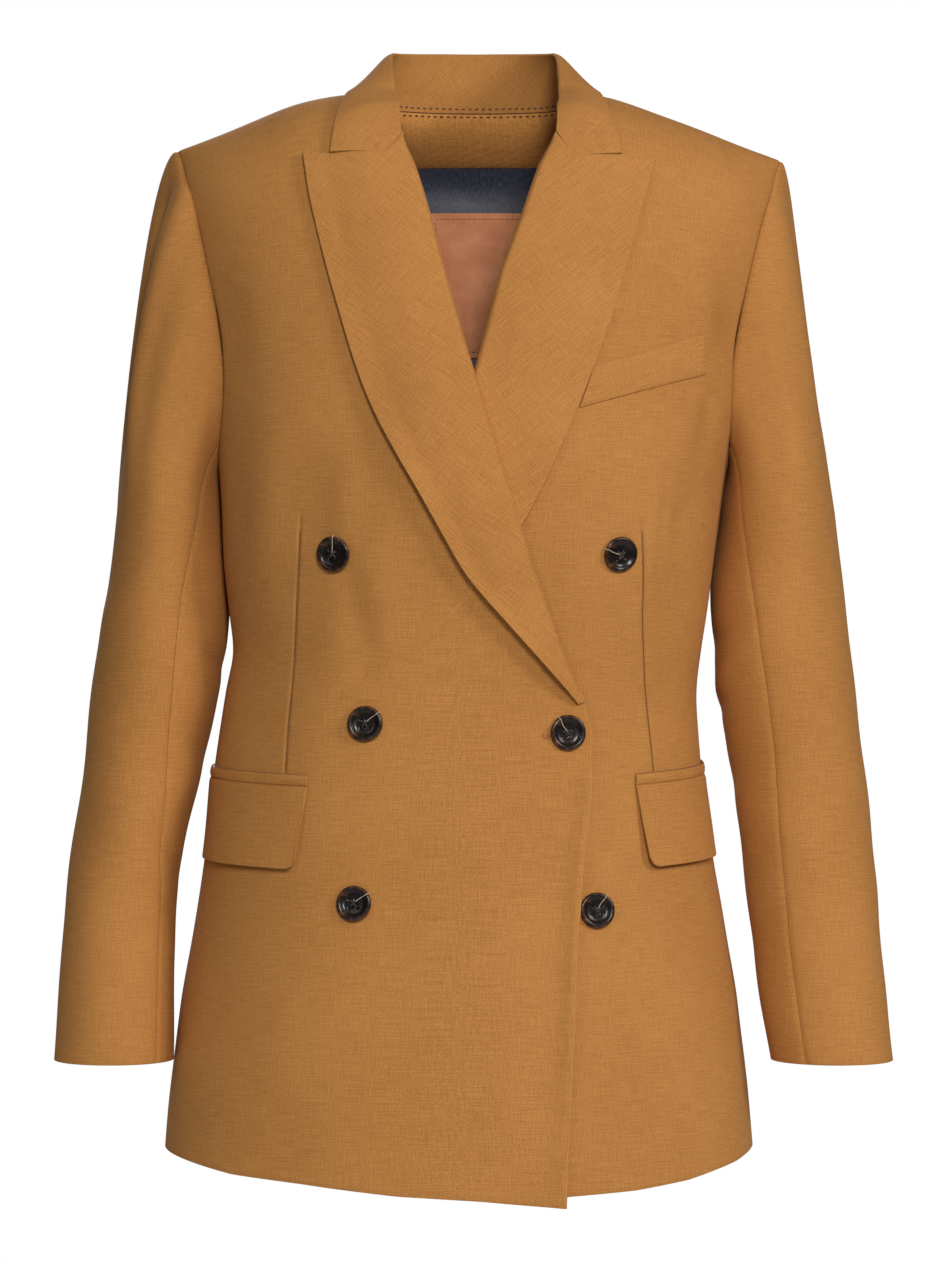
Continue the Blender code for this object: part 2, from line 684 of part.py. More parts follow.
def build_back(side):
    """One back, with a middle back seam."""
    points, normals = surface_grid(back_places(side), lambda a, l: 0.0)
    points = trimmed(points, SEAM / 2, ("top", "first", "last"))
    add_wall("back_" + side, points, normals, WALL, WOOL)


def build_back_inside():
    """The neck facing, the lining below it, and the bare patch on the lining."""
    right = back_places("right")
    left = back_places("left")
    places = [r[:0:-1] + l for r, l in zip(right, left)]
    inward = WALL + SEAM
    points, normals = surface_grid(places, lambda a, l: -inward)
    middle = len(places[0]) // 2
    low, high = middle - NECK_COLUMNS, middle + NECK_COLUMNS + 1

    def split(grid):
        """The grid's rows above and below the facing's lower edge, each with that edge."""
        last, following = grid[FACING_ROWS], grid[FACING_ROWS + 1]
        edge = [last + (following - last) * FACING_SHARE]
        above = np.concatenate([grid[: FACING_ROWS + 1], edge])
        return above, np.concatenate([edge, grid[FACING_ROWS + 1 :]])

    facing, lining = split(points)
    facing_normals, lining_normals = split(normals)
    facing = trimmed(facing[:, low:high], SEAM / 2, ("bottom",))
    facing = trimmed(facing, SEAM, ("top",))
    add_wall("neck_facing", facing, facing_normals[:, low:high], LINING, WOOL, NECK_COLUMNS)

    half = list(range(NECK_COLUMNS + 1)) + [NECK_COLUMNS + 2, NECK_COLUMNS + BACK_COLUMNS]
    kept = [middle - c for c in reversed(half[1:])] + [middle + c for c in half]
    lining = trimmed(lining[:-LINING_HEM_ROWS, kept], SEAM / 2, ("top",))
    lining = trimmed(lining, LIE, ("first", "last"))
    lining_normals = lining_normals[:-LINING_HEM_ROWS, kept]
    add_wall("lining_back", lining, lining_normals, LINING, SATIN, len(half) - 1)

    places = []
    for r in range(LABEL_ROWS + 1):
        level = LABEL_HIGH[1] + (LABEL_LOW[1] - LABEL_HIGH[1]) * r / LABEL_ROWS
        row = []
        for c in range(LABEL_COLUMNS + 1):
            x = LABEL_LOW[0] + (LABEL_HIGH[0] - LABEL_LOW[0]) * c / LABEL_COLUMNS
            row.append((np.pi - angle_of_x(x, level), level))
        places.append(row)
    out = -(inward + LINING + LIE)
    points, normals = surface_grid(places, lambda a, l: out)
    add_wall("label_patch", points, normals, LEATHER, PATCH)


# Lapels and collar

def top_shares(side):
    """Shares of a lapel's top line at its columns: gorge, corner, notch and peak."""
    points = np.array(LAPEL_TOP[side])
    lengths = np.linalg.norm(np.diff(points, axis=0), axis=1)
    corner, notch = np.cumsum(lengths)[:2] / lengths.sum()
    return [0.0, *np.linspace(corner, notch, LAPEL_COLUMNS - 1), 1.0]


def lapel_share(r):
    """Share of the roll line at a lapel's row, closer together at the top."""
    return LAPEL_TIP * (r / LAPEL_ROWS) ** LAPEL_ROW_GROWTH


def lapel_places(side):
    """Each lapel grid point seen from the front, rows down, columns outwards."""
    top, edge = LAPEL_TOP[side], LAPEL_EDGE[side]
    rows = []
    straight_start, straight_end = np.array(top[0]), np.array(top[-1])
    for r in range(LAPEL_ROWS + 1):
        share = lapel_share(r)
        level = ROLL_TOP + (BREAK - ROLL_TOP) * share
        roll = np.array([edge_x(side, level) - SIGN[side] * LAPEL_OVER, level])
        if r == 0:
            roll = np.array(top[0])
        outer = along(edge, share)
        row = []
        for across in top_shares(side):
            place = roll + (outer - roll) * across
            sag = along(top, across) - (straight_start + (straight_end - straight_start) * across)
            row.append(place + sag * (1 - share) ** LAPEL_SAG_FADE)
        rows.append(row)
    return rows


def build_lapel(side):
    """A peaked lapel that lies on its front, standing off a little at the roll."""
    points, normals = [], []
    places = lapel_places(side)
    for r, row in enumerate(places):
        share = lapel_share(r)
        fade = 1 - blend(*LAPEL_FADE[side], share)
        line, line_normals = [], []
        for across, (x, z) in zip(top_shares(side), row):
            roll = LAPEL_ROLL * fade * np.sin(np.pi * min(1.0, across / 0.8))
            point, normal = on_front(side, x, z, LIE + WALL + roll)
            line.append(point)
            line_normals.append(normal)
        points.append(line)
        normals.append(line_normals)
    points, normals = np.array(points), np.array(normals)
    points = trimmed(points, SEAM, ("top",))
    add_wall("lapel_" + side, points, normals, WALL, LAPEL_WOOL)


def neck_seam(side):
    """Points of the neck seam, from the middle back to the gorge."""
    back = back_places(side)[0][: NECK_COLUMNS + 1]
    front = [row[0] for row in front_places(side)[1 : FRONT_NECK_ROWS + 1]]
    return [body_point(a, l) for a, l in back + front]


def on_shoulder(x, y, out):
    """A point that lies out from the shoulder surface over a place seen from above."""
    level = level_of_z(x, height_at(x, y))
    return body_point(angle_of_x(x, level), level, out)


def collar_at(index):
    """The collar table's measures at a row, or between two rows."""
    low = min(int(index), len(COLLAR_ROWS) - 2)
    first, second = np.array(COLLAR_ROWS[low]), np.array(COLLAR_ROWS[low + 1])
    return CollarRow(*(first + (second - first) * (index - low)))


def leaf_line(side, index):
    """The collar leaf's outer face from the fold to its edge, at one row."""
    row = collar_at(index)
    sign = SIGN[side]
    fold = np.array([sign * row.fold_x, row.fold_y, row.fold_z])
    shares = np.linspace(0, 1, LEAF_COLUMNS + 1)
    if index == len(COLLAR_ROWS) - 1:
        notch = top_shares(side)[-2]
        gorge = [0.0, top_shares(side)[1] / 2, *top_shares(side)[1:-1]]
        line = []
        for s in gorge:
            bulge = LEAF_BULGE * 4 * s * (notch - s) / notch**2
            line.append(on_front(side, *along(LAPEL_TOP[side], s), LEAF_RISE + bulge)[0])
        return line
    if index >= LEAF_FRONT_ROW:
        start = max(LEAF_RISE, row.fold_z - height_at(sign * row.fold_x, row.fold_y))
        edge = np.array([sign * row.edge_x, row.edge_y])
        line = []
        for s in shares:
            x, y = fold[:2] + (edge - fold[:2]) * s
            rise = start + (LEAF_RISE - start) * s + LEAF_BULGE * 4 * s * (1 - s)
            line.append(on_shoulder(x, y, rise))
        return line
    rise = height_at(sign * row.edge_x, row.edge_y) + LEAF_RISE
    edge = np.array([sign * row.edge_x, row.edge_y, rise])
    control = fold + (edge - fold) * LEAF_CROWN_PLACE
    crown = LEAF_CROWN + (LEAF_CROWN_SIDE - LEAF_CROWN) * index / (LEAF_FRONT_ROW - 1)
    control[2] = fold[2] + crown
    return [fold * (1 - s) ** 2 + 2 * control * s * (1 - s) + edge * s**2 for s in shares]


def both_sides(line_of, indices):
    """Rows for the whole collar, from the right front end round to the left one."""
    rows = [line_of("right", i) for i in reversed(indices[1:])]
    rows += [line_of("left", i) for i in indices]
    return np.array(rows)


def build_collar():
    """The collar's leaf over its stand."""
    indices = list(range(LEAF_FRONT_ROW)) + list(np.arange(LEAF_FRONT_ROW, len(COLLAR_ROWS), 0.5))
    leaf = both_sides(leaf_line, [i for i in indices if i <= len(COLLAR_ROWS) - 1])
    leaf = trimmed(leaf, SEAM, ("top", "bottom"))
    add_wall("collar_leaf", leaf, grid_normals(leaf), WALL, LAPEL_WOOL)

    seams = {side: neck_seam(side) for side in SIGN}

    def stand_line(side, index):
        row = COLLAR_ROWS[index]
        sign = SIGN[side]
        base = seams[side][index] * STAND_INSIDE + np.array([0.0, 0.0, LIE])
        top = np.array([sign * row.fold_x, row.fold_y, row.fold_z - STAND_DROP])
        return [top + (base - top) * s for s in np.linspace(0, 1, STAND_COLUMNS + 1)]

    inner = both_sides(stand_line, list(range(LEAF_FRONT_ROW + 1)))
    normals = grid_normals(inner)
    add_wall("collar_stand", inner + WALL * normals, normals, WALL, WOOL)


# Sleeves

def sleeve_ring(side, level, turns):
    """Points of a sleeve section at a level, at each turn in degrees."""
    out = interpolate(SLEEVE_ROWS, "out_" + side, level)
    half = interpolate(SLEEVE_ROWS, "half_" + side, level)
    middle_y = interpolate(SLEEVE_ROWS, "depth_y", level)
    half_depth = interpolate(SLEEVE_ROWS, "half_depth", level)
    points = []
    for degrees in turns:
        turn = np.radians(degrees)
        lift = sleeve_relief(side, level, degrees)
        across = out + (half + lift) * np.cos(turn)
        points.append([SIGN[side] * across, middle_y - (half_depth + lift) * np.sin(turn), level])
    return np.array(points)


def sleeve_relief(side, level, degrees):
    """How far the soft folds lift the sleeve at a place."""
    total = 0.0
    for fold in SLEEVE_FOLDS:
        if fold.side != side:
            continue
        turn = (degrees - fold.turn + 180) % 360 - 180
        middle = fold.level + fold.slant * turn / 90
        near = np.exp(-(((level - middle) / fold.width) ** 2))
        total += fold.height * near * np.cos(np.radians(np.clip(turn, -90, 90))) ** 2
    return total


def sleeve_turns(side, level):
    """Turns of the seams and of the points between them, right round."""
    front = FRONT_SEAM_TURN
    if level is not None:
        front = interpolate(SLEEVE_ROWS, "seam_" + side, level)
    upper = (FRONT_SEAM_TURN + 360 - BACK_SEAM_TURN) // ARMHOLE_STEP
    under = (BACK_SEAM_TURN - FRONT_SEAM_TURN) // ARMHOLE_STEP
    return (
        list(np.linspace(BACK_SEAM_TURN - 360, front, upper + 1)),
        list(np.linspace(front, BACK_SEAM_TURN, under + 1)),
    )


def cap_start(side, degrees):
    """Where the sleeve starts at the armhole, and the way that it sets out."""
    turn = np.radians(degrees)
    point = body_base(*armhole(side, degrees))
    down = CAP_DROP + CAP_UNDER_DROP * max(0.0, -np.cos(turn))
    way = unit(np.array([SIGN[side], -CAP_TURN_IN * np.sin(turn), -down]))
    clear = CAP_CLEAR + TIP_CLEAR * max(0.0, np.cos(turn)) ** 6
    return point + way * clear, way


def sleeve_grid(side, which):
    """Grid of one sleeve piece: rows from armhole to cuff, columns round."""
    top_level = SLEEVE_ROWS[0].level
    start_turns = sleeve_turns(side, None)[which]
    ring_turns = sleeve_turns(side, top_level)[which]
    ring = sleeve_ring(side, top_level, ring_turns)
    rows = [[] for _ in CAP_STEPS]
    for k, degrees in enumerate(start_turns):
        start, way = cap_start(side, degrees)
        turn = np.radians(degrees)
        top = max(0.0, np.cos(turn))
        under = max(0.0, -np.cos(turn))
        flank = 1 - top - under
        reach = CAP_TOP_REACH[side] * top + CAP_UNDER_REACH * under + CAP_SIDE_REACH * flank
        hang = CAP_TOP_HANG * top + CAP_UNDER_HANG * under + CAP_SIDE_HANG * flank
        first = start + way * reach
        second = ring[k] + hang * np.array([-SIGN[side] * CAP_TOP_LEAN[side] * top, 0.0, 1.0])
        for row, t in zip(rows, CAP_STEPS):
            row.append(
                start * (1 - t) ** 3
                + 3 * first * t * (1 - t) ** 2
                + 3 * second * t**2 * (1 - t)
                + ring[k] * t**3
            )
    bottom = SLEEVE_ROWS[-1].level
    for step in range(SLEEVE_STEPS + 1):
        level = top_level + (bottom - top_level) * step / SLEEVE_STEPS
        rows.append(list(sleeve_ring(side, level, sleeve_turns(side, level)[which])))
    return np.array(rows)


def build_sleeve(side):
    """The upper and under pieces of one sleeve, with normals shared at the seams."""
    upper = sleeve_grid(side, 0)
    under = sleeve_grid(side, 1)
    whole = np.concatenate([upper[:, :-1], under[:, :-1]], axis=1)
    wrapped = np.concatenate([whole[:, -1:], whole, whole[:, :1]], axis=1)
    across = (wrapped[:, 2:] - wrapped[:, :-2]) / 2
    normals = unit(np.cross(across, np.gradient(whole, axis=0))) * SIGN[side]
    count = upper.shape[1]
    upper_normals = normals[:, :count]
    under_normals = np.concatenate([normals[:, count - 1:], normals[:, :1]], axis=1)
    for name, points, its_normals in (
        ("sleeve_upper_", upper, upper_normals),
        ("sleeve_under_", under, under_normals),
    ):
        points = trimmed(points, SEAM / 2, ("first", "last"))
        add_wall(name + side, points, its_normals, WALL, WOOL)


# Pockets, welt and buttons

def pocket_place(pocket, distance, down):
    """Angle and level at a distance round from the pocket's corner, and down."""
    share = distance / FLAP_WIDTH
    level = pocket.corner_level + pocket.rise * share - down
    start = angle_of_x(pocket.corner_x, level)
    sign = SIGN[pocket.side]
    if distance <= 0:
        return start, level
    return angle_along(start, level, sign * distance), level


def pocket_out(side, angle, level):
    return front_out(side, body_base(angle, level)[0], level) + LIE


def build_pocket(pocket):
    """A jet, and the flap that hangs from under it."""
    side = pocket.side
    places = []
    for down in (-JET_HEIGHT, 0.0):
        shares = np.linspace(0, 1, FLAP_COLUMNS + 1)
        places.append([pocket_place(pocket, FLAP_WIDTH * s, down) for s in shares])
    points, normals = surface_grid(places, lambda a, l: pocket_out(side, a, l) + LINING)
    add_wall("pocket_jet_" + side, points, normals, LINING, WOOL)

    places = []
    for r in range(FLAP_ROWS + 1):
        row = []
        for c in range(FLAP_COLUMNS + 1):
            distance = FLAP_WIDTH * c / FLAP_COLUMNS
            end = max(0.0, 1 - min(distance, FLAP_WIDTH - distance) / FLAP_CORNER)
            height = FLAP_HEIGHT - FLAP_CORNER * (1 - np.sqrt(1 - end**2))
            down = SEAM + height * r / FLAP_ROWS
            row.append(pocket_place(pocket, distance + FLAP_LEAN * down / FLAP_HEIGHT, down))
        places.append(row)
    points, normals = surface_grid(places, lambda a, l: pocket_out(side, a, l) + WALL)
    lies = [1 - blend(*FLAP_LIES, c / FLAP_COLUMNS) for c in range(FLAP_COLUMNS + 1)]
    stand = FLAP_STAND * np.outer(np.linspace(0, 1, FLAP_ROWS + 1), lies)[:, :, None]
    add_wall("pocket_flap_" + side, points + stand * normals, normals, WALL, WOOL)


def build_welt():
    """The breast pocket's welt on the left front."""
    points, normals = [], []
    for r in range(WELT_ROWS + 1):
        line, line_normals = [], []
        for c in range(WELT_COLUMNS + 1):
            top = along(WELT_TOP, c / WELT_COLUMNS)
            bottom = along(WELT_BOTTOM, c / WELT_COLUMNS)
            x, z = top + (bottom - top) * r / WELT_ROWS
            point, normal = on_front("left", x, z, LIE + LINING)
            line.append(point)
            line_normals.append(normal)
        points.append(line)
        normals.append(line_normals)
    add_wall("breast_welt", np.array(points), np.array(normals), LINING, WOOL)


def face_of_front(side, x, z):
    """The point and normal of a built front's outer face at a place seen from the front."""
    mesh = bpy.data.objects["front_" + side].data
    tree = BVHTree.FromPolygons(
        [vert.co for vert in mesh.vertices],
        [face.vertices for face in mesh.polygons],
    )
    point, normal, _, _ = tree.ray_cast(Vector((x, -1.0, z)), Vector((0.0, 1.0, 0.0)))
    return point, normal


def build_button(index, row):
    """A turned four-hole button with a raised rim, standing on its front."""
    bm = bmesh.new()
    verts = [bm.verts.new((r, 0.0, h)) for r, h in BUTTON_PROFILE]
    edges = [bm.edges.new(pair) for pair in zip(verts, verts[1:])]
    bmesh.ops.spin(
        bm, geom=verts + edges, cent=(0, 0, 0), axis=(0, 0, 1),
        angle=2 * np.pi, steps=BUTTON_SEGMENTS, use_merge=True,
    )
    bmesh.ops.remove_doubles(bm, verts=bm.verts, dist=0.00001)
    bmesh.ops.recalc_face_normals(bm, faces=bm.faces)
    item = add_object(f"button_{index}", bm, HORN)

    cutter_mesh = bmesh.new()
    for x in (-BUTTON_HOLE_PLACE, BUTTON_HOLE_PLACE):
        for y in (-BUTTON_HOLE_PLACE, BUTTON_HOLE_PLACE):
            bmesh.ops.create_cone(
                cutter_mesh, cap_ends=True, segments=BUTTON_HOLE_SIDES,
                radius1=BUTTON_HOLE_RADIUS, radius2=BUTTON_HOLE_RADIUS, depth=CUTTER_DEPTH,
                matrix=Matrix.Translation((x, y, 0.0)),
            )
    mesh = bpy.data.meshes.new(f"button_holes_{index}")
    cutter_mesh.to_mesh(mesh)
    cutter_mesh.free()
    cutter = bpy.data.objects.new(mesh.name, mesh)
    cutter.hide_render = True
    cutter.display_type = "WIRE"
    bpy.data.collections["cutters"].objects.link(cutter)
    holes = item.modifiers.new("holes", "BOOLEAN")
    holes.operation = "DIFFERENCE"
    holes.object = cutter

    point, axis = face_of_front(row.side, row.x, row.z)
    up = axis.cross(Vector((1.0, 0.0, 0.0))).normalized()
    turn = Matrix((up.cross(axis), up, axis)).transposed().to_4x4()
    place = Matrix.Translation(point + BUTTON_CLEAR * axis) @ turn
    item.matrix_world = place
    cutter.matrix_world = place


def build_blazer():
    for side in SIGN:
        build_front(side)
        build_back(side)
        build_sleeve(side)
        build_lapel(side)
    build_collar()
    build_back_inside()
    for pocket in POCKET_ROWS:
        build_pocket(pocket)
    build_welt()
    for index, row in enumerate(BUTTON_ROWS, start=1):
        build_button(index, row)


for old in list(bpy.data.objects):
    bpy.data.objects.remove(old, do_unlink=True)
for label in (NAME, "cutters"):
    collection = bpy.data.collections.new(label)
    bpy.context.scene.collection.children.link(collection)
build_blazer()
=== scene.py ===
"""Looks of the double breasted blazer: cloth, lining, leather, horn, stitches and light.

Metres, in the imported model's frame: +Z up, front at -Y, origin at the neck. Right and
left are the wearer's, so right is at -X. The tables repeat the part's own measures. Each
piece of cloth is a fine shell over its solid, with the seams, darts, creases and rolled
edges that the solid leaves out.
"""
from collections import namedtuple

import bpy
import numpy as np
from mathutils import Matrix, Vector


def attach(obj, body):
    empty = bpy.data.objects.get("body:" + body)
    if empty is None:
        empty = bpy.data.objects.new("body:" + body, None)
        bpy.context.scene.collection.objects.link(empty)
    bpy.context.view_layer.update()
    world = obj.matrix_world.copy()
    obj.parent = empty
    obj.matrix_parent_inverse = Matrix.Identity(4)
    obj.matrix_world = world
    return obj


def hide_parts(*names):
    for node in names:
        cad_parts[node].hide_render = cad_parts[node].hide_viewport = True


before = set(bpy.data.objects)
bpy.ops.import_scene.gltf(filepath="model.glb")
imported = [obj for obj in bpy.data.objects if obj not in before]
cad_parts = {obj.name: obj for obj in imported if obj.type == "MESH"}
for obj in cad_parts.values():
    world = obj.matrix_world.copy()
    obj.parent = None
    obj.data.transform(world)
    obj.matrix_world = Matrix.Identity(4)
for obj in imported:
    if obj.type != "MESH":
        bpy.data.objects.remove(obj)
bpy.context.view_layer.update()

# Cloth and seams
WALL = 0.0015
LINING = 0.0010
LEATHER = 0.0012
SEAM = 0.0003
LIE = 0.0010            # what lies on a panel stands this far off it
EDGE_ROUND = 0.0005     # how far a turned edge bulges
ALLOWANCE = 0.0016      # depth of the cloth that is turned in at a seam
ALLOWANCE_MEETS = 0.0005        # how far it leans over the seam's gap
CAP_MEETS = 0.0016      # the same at a sleeve's cap
SEAM_COLUMNS = (0.0007, 0.0016, 0.0030)     # columns next to a panel's edge
PANEL_WIDTH = 0.25      # about what fronts and backs measure across
CLOTH_RADIUS = 0.165    # metres of cloth to a radian round the body
SEAM_SOFT = 0.0016      # how wide the cloth dips towards a seam
TRIM_SOFT = 0.0012      # the same on lapels, collar, facing and welt
FLAP_SOFT = 0.0014
CLOTH_RIPPLE = (0.0006, 0.09, 3)        # height, size and seed of faint waves in the cloth
RELIEF_FADE = (1.45, 1.62)      # angles over which a front's relief fades at its side

# How deep the cloth is pressed at its edges
DIPS = {
    "front": {"top": 0.0005, "last": 0.0005},
    "back": {"top": 0.0004, "first": 0.0003, "last": 0.0005},
    "sleeve": {"first": 0.0006, "last": 0.0006, "top": 0.0005},
    "lapel": {"top": 0.0006},
    "leaf": {"top": 0.0006, "bottom": 0.0006},
    "facing": {"bottom": 0.0005},
    "flap": {"top": 0.0010},
    "welt": {"bottom": 0.0005, "last": 0.0004},
}
# The edges of a grid: the axis that it starts or ends, and the way in from it
EDGES = {"top": (0, 1), "bottom": (0, -1), "first": (1, 1), "last": (1, -1)}
SIGN = {"right": -1.0, "left": 1.0}

# The lap of the right front over the left one: how far out, where it starts and thins
LAP_LOW = 0.0026
LAP_HIGH = 0.0052
LAP_GROWS = (0.170, 0.205)
LAP_THINS = (0.435, 0.500)
LAP_RAMP = (0.070, 0.022)

# Neck, shoulders and armholes
NECK_HALF = 0.081
NECK_BACK = 0.057
SHOULDER_HALF = 0.205
SHOULDER_ROUND = 0.060
SHOULDER_SOFT = 0.15
RIGHT_RAISE = 0.145     # share of the side drop that the right shoulder doesn't have
RAISE_PLACE = (0.062, 0.135)
ARMHOLE_TOP = {"right": -0.0404, "left": -0.0472}
ARMHOLE_BOTTOM = -0.255
ARMHOLE_FRONT = 0.49
ARMHOLE_BACK = 0.55
SIDE_SEAM_TURN = 10
SIDE_SEAM_LEVEL = -0.46
HEM_TURN = 108
HEM_BACK = -0.711
HEM_FRONT = -0.737
FACING_TURN = 37        # turn round the armhole where the neck facing ends
LINING_HEM = 0.917      # share of the way from underarm to hem that the lining covers

# How finely the shells are sampled
ARMHOLE_ROWS = 48
LOWER_ROWS = 110
PANEL_COLUMNS = 70
BACK_COLUMNS = 46
NECK_POINTS = 22

# The body's sections, from the neck points down to the hem
BodyRow = namedtuple(
    "BodyRow", "level side_drop half_width front_depth back_depth squareness middle_x"
)
BODY_ROWS = (
    BodyRow(0.000, -0.047, 0.2050, 0.082, 0.095, 2.50, 0.0036),
    BodyRow(-0.030, -0.042, 0.2045, 0.086, 0.098, 2.50, 0.0036),
    BodyRow(-0.065, -0.032, 0.2005, 0.094, 0.101, 2.50, 0.0036),
    BodyRow(-0.105, -0.022, 0.1950, 0.102, 0.104, 2.50, 0.0034),
    BodyRow(-0.155, -0.012, 0.1875, 0.111, 0.106, 2.45, 0.0030),
    BodyRow(-0.205, -0.004, 0.1790, 0.119, 0.105, 2.40, 0.0020),
    BodyRow(-0.255, 0.000, 0.1710, 0.124, 0.101, 2.40, 0.0005),
    BodyRow(-0.305, 0.000, 0.1655, 0.121, 0.096, 2.40, -0.0010),
    BodyRow(-0.355, 0.000, 0.1605, 0.111, 0.090, 2.40, -0.0030),
    BodyRow(-0.380, 0.000, 0.1580, 0.107, 0.088, 2.40, -0.0040),
    BodyRow(-0.405, 0.000, 0.1590, 0.105, 0.087, 2.40, -0.0080),
    BodyRow(-0.455, 0.000, 0.1640, 0.108, 0.092, 2.40, -0.0105),
    BodyRow(-0.510, 0.000, 0.1706, 0.115, 0.101, 2.40, -0.0100),
    BodyRow(-0.580, 0.000, 0.1820, 0.123, 0.110, 2.40, -0.0095),
    BodyRow(-0.650, 0.000, 0.1925, 0.129, 0.115, 2.40, -0.0095),
    BodyRow(-0.740, 0.000, 0.2005, 0.133, 0.118, 2.40, -0.0098),
)

# The fronts' inner boundary: neckline, roll line, break, then the free edge
EdgeRow = namedtuple("EdgeRow", "level right_x left_x")
EDGE_ROWS = (
    EdgeRow(0.000, -0.0810, 0.0810),
    EdgeRow(-0.004, -0.0775, 0.0785),
    EdgeRow(-0.014, -0.0665, 0.0710),
    EdgeRow(-0.032, -0.0472, 0.0552),
    EdgeRow(-0.060, -0.0382, 0.0430),
    EdgeRow(-0.090, -0.0298, 0.0333),
    EdgeRow(-0.129, -0.0199, 0.0190),
    EdgeRow(-0.189, -0.0030, 0.0036),
    EdgeRow(-0.241, 0.0127, -0.0127),
    EdgeRow(-0.323, 0.0375, -0.0375),
    EdgeRow(-0.359, 0.0500, -0.0500),
    EdgeRow(-0.391, 0.0619, -0.0619),
    EdgeRow(-0.422, 0.0738, -0.0738),
    EdgeRow(-0.430, 0.0758, -0.0758),
    EdgeRow(-0.476, 0.0750, -0.0750),
    EdgeRow(-0.529, 0.0692, -0.0720),
    EdgeRow(-0.560, 0.0668, -0.0710),
    EdgeRow(-0.633, 0.0640, -0.0690),
    EdgeRow(-0.745, 0.0590, -0.0670),
)
ROLL_TOP = -0.0381
BREAK = -0.4217

# The front hem, by place across (-1 right side, 0 middle, 1 left side)
HemRow = namedtuple("HemRow", "across right left")
HEM_ROWS = (
    HemRow(-1.00, -0.7120, -0.7285),
    HemRow(-0.75, -0.7210, -0.7285),
    HemRow(-0.50, -0.7250, -0.7285),
    HemRow(-0.20, -0.7314, -0.7290),
    HemRow(0.07, -0.7345, -0.7305),
    HemRow(0.34, -0.7395, -0.7325),
    HemRow(0.58, -0.7395, -0.7295),
    HemRow(0.76, -0.7395, -0.7247),
    HemRow(0.93, -0.7395, -0.7165),
    HemRow(1.00, -0.7395, -0.7110),
)

# Lapels, seen from the front: the top line from the roll line out to the peak,
# then the outer edge from the peak down to the break
LAPEL_TOP = {
    "right": [(-0.0474, -0.0385), (-0.0582, -0.0512), (-0.0933, -0.0523), (-0.1114, -0.0508)],
    "left": [(0.0544, -0.0366), (0.0648, -0.0542), (0.0965, -0.0536), (0.1192, -0.0549)],
}
LAPEL_EDGE = {
    "right": [
        (-0.1114, -0.0508), (-0.1056, -0.0837), (-0.0934, -0.1332), (-0.0767, -0.1890),
        (-0.0609, -0.2279), (-0.0330, -0.2765), (-0.0088, -0.3191), (0.0042, -0.3366),
        (0.0370, -0.3760), (0.0740, -0.4224),
    ],
    "left": [
        (0.1192, -0.0549), (0.1143, -0.0702), (0.1041, -0.1079), (0.0906, -0.1553),
        (0.0773, -0.1930), (0.0563, -0.2449), (0.0335, -0.2912), (0.0060, -0.3320),
        (-0.0370, -0.3790), (-0.0740, -0.4224),
    ],
}
LAPEL_ROWS = 120
LAPEL_BEFORE = 0.92     # the last column before the gorge's corner, as a share of the way
GORGE_COLUMNS = 22
PEAK_COLUMNS = 9
PEAK_NEAR = (0.985, 0.993, 1.0)     # columns next to the outer edge
LAPEL_ROW_GROWTH = 1.35
LAPEL_POINTS = 90
LAPEL_SAG_FADE = 6
LAPEL_TOP_FADE = 25
LAPEL_TIP = 0.972
LAPEL_OVER = 0.0012
LAPEL_ROLL = 0.0030
LAPEL_ROLL_SHARE = 0.8      # how far across it reaches
LAPEL_FADE = {"right": (0.60, 1.00), "left": (0.30, 0.52)}
LAPEL_LIFT = {"right": 0.0075, "left": 0.0032}      # how far the outer edge stands off
LAPEL_LIFT_TOP = 0.0022
LAPEL_LIFTS = (0.25, 0.70)
LAPEL_SETTLES = (0.90, 1.00)
LAPEL_RIPPLE = (0.00035, 0.06, 6)
# Columns next to the roll line
ROLL_NEAR = (0.0, 0.0004, 0.0009, 0.0015, 0.0022, 0.0030, 0.0042)
ROLL_REACH = 0.85       # they end at most this share of the way to the gorge's corner
ROLL_DROP = 0.0030      # how far the fold at the roll line drops
ROLL_WIDTH = 0.0030
ROLL_STARTS = (0.00, 0.02)
ROLL_ENDS = (0.93, 0.98)
EDGE_BACK = 0.0036      # how far a front stops short of the roll line under its lapel
BACK_STARTS = (0.034, 0.040)
BACK_ENDS = (-BREAK - 0.020, -BREAK - 0.011)

# One side of the collar, from the middle back to the gorge: its fold, its outer edge, how far
# that edge stands off the shoulder, and how much further out the fold lies on the left
CollarRow = namedtuple("CollarRow", "fold_x fold_y fold_z edge_x edge_y rise left_out")
COLLAR_ROWS = (
    CollarRow(0.0000, 0.0600, 0.0330, 0.0000, 0.0790, 0.0030, 0.0000),
    CollarRow(0.0220, 0.0570, 0.0328, 0.0250, 0.0765, 0.0030, 0.0000),
    CollarRow(0.0390, 0.0480, 0.0317, 0.0470, 0.0680, 0.0030, 0.0000),
    CollarRow(0.0500, 0.0340, 0.0301, 0.0636, 0.0520, 0.0030, 0.0000),
    CollarRow(0.0555, 0.0180, 0.0281, 0.0728, 0.0290, 0.0032, 0.0004),
    CollarRow(0.0565, 0.0000, 0.0215, 0.0790, 0.0020, 0.0036, 0.0014),
    CollarRow(0.0545, -0.0240, 0.0070, 0.0830, -0.0260, 0.0040, 0.0036),
    CollarRow(0.0510, -0.0500, -0.0130, 0.0890, -0.0560, 0.0043, 0.0070),
    CollarRow(0.0480, -0.0765, -0.0345, 0.0933, -0.0810, 0.0056, 0.0060),
)
LEAF_END_RISE = 0.0031      # at the gorge, where it meets the lapel
NOTCH_GAP = 0.0009
NOTCH_OPENS = (0.15, 0.35)
LEAF_CROWN = 0.0055
LEAF_CROWN_SIDE = -0.0010
LEAF_CROWN_PLACE = 0.45
LEAF_BULGE = 0.0020
LEAF_FRONT_ROW = 6
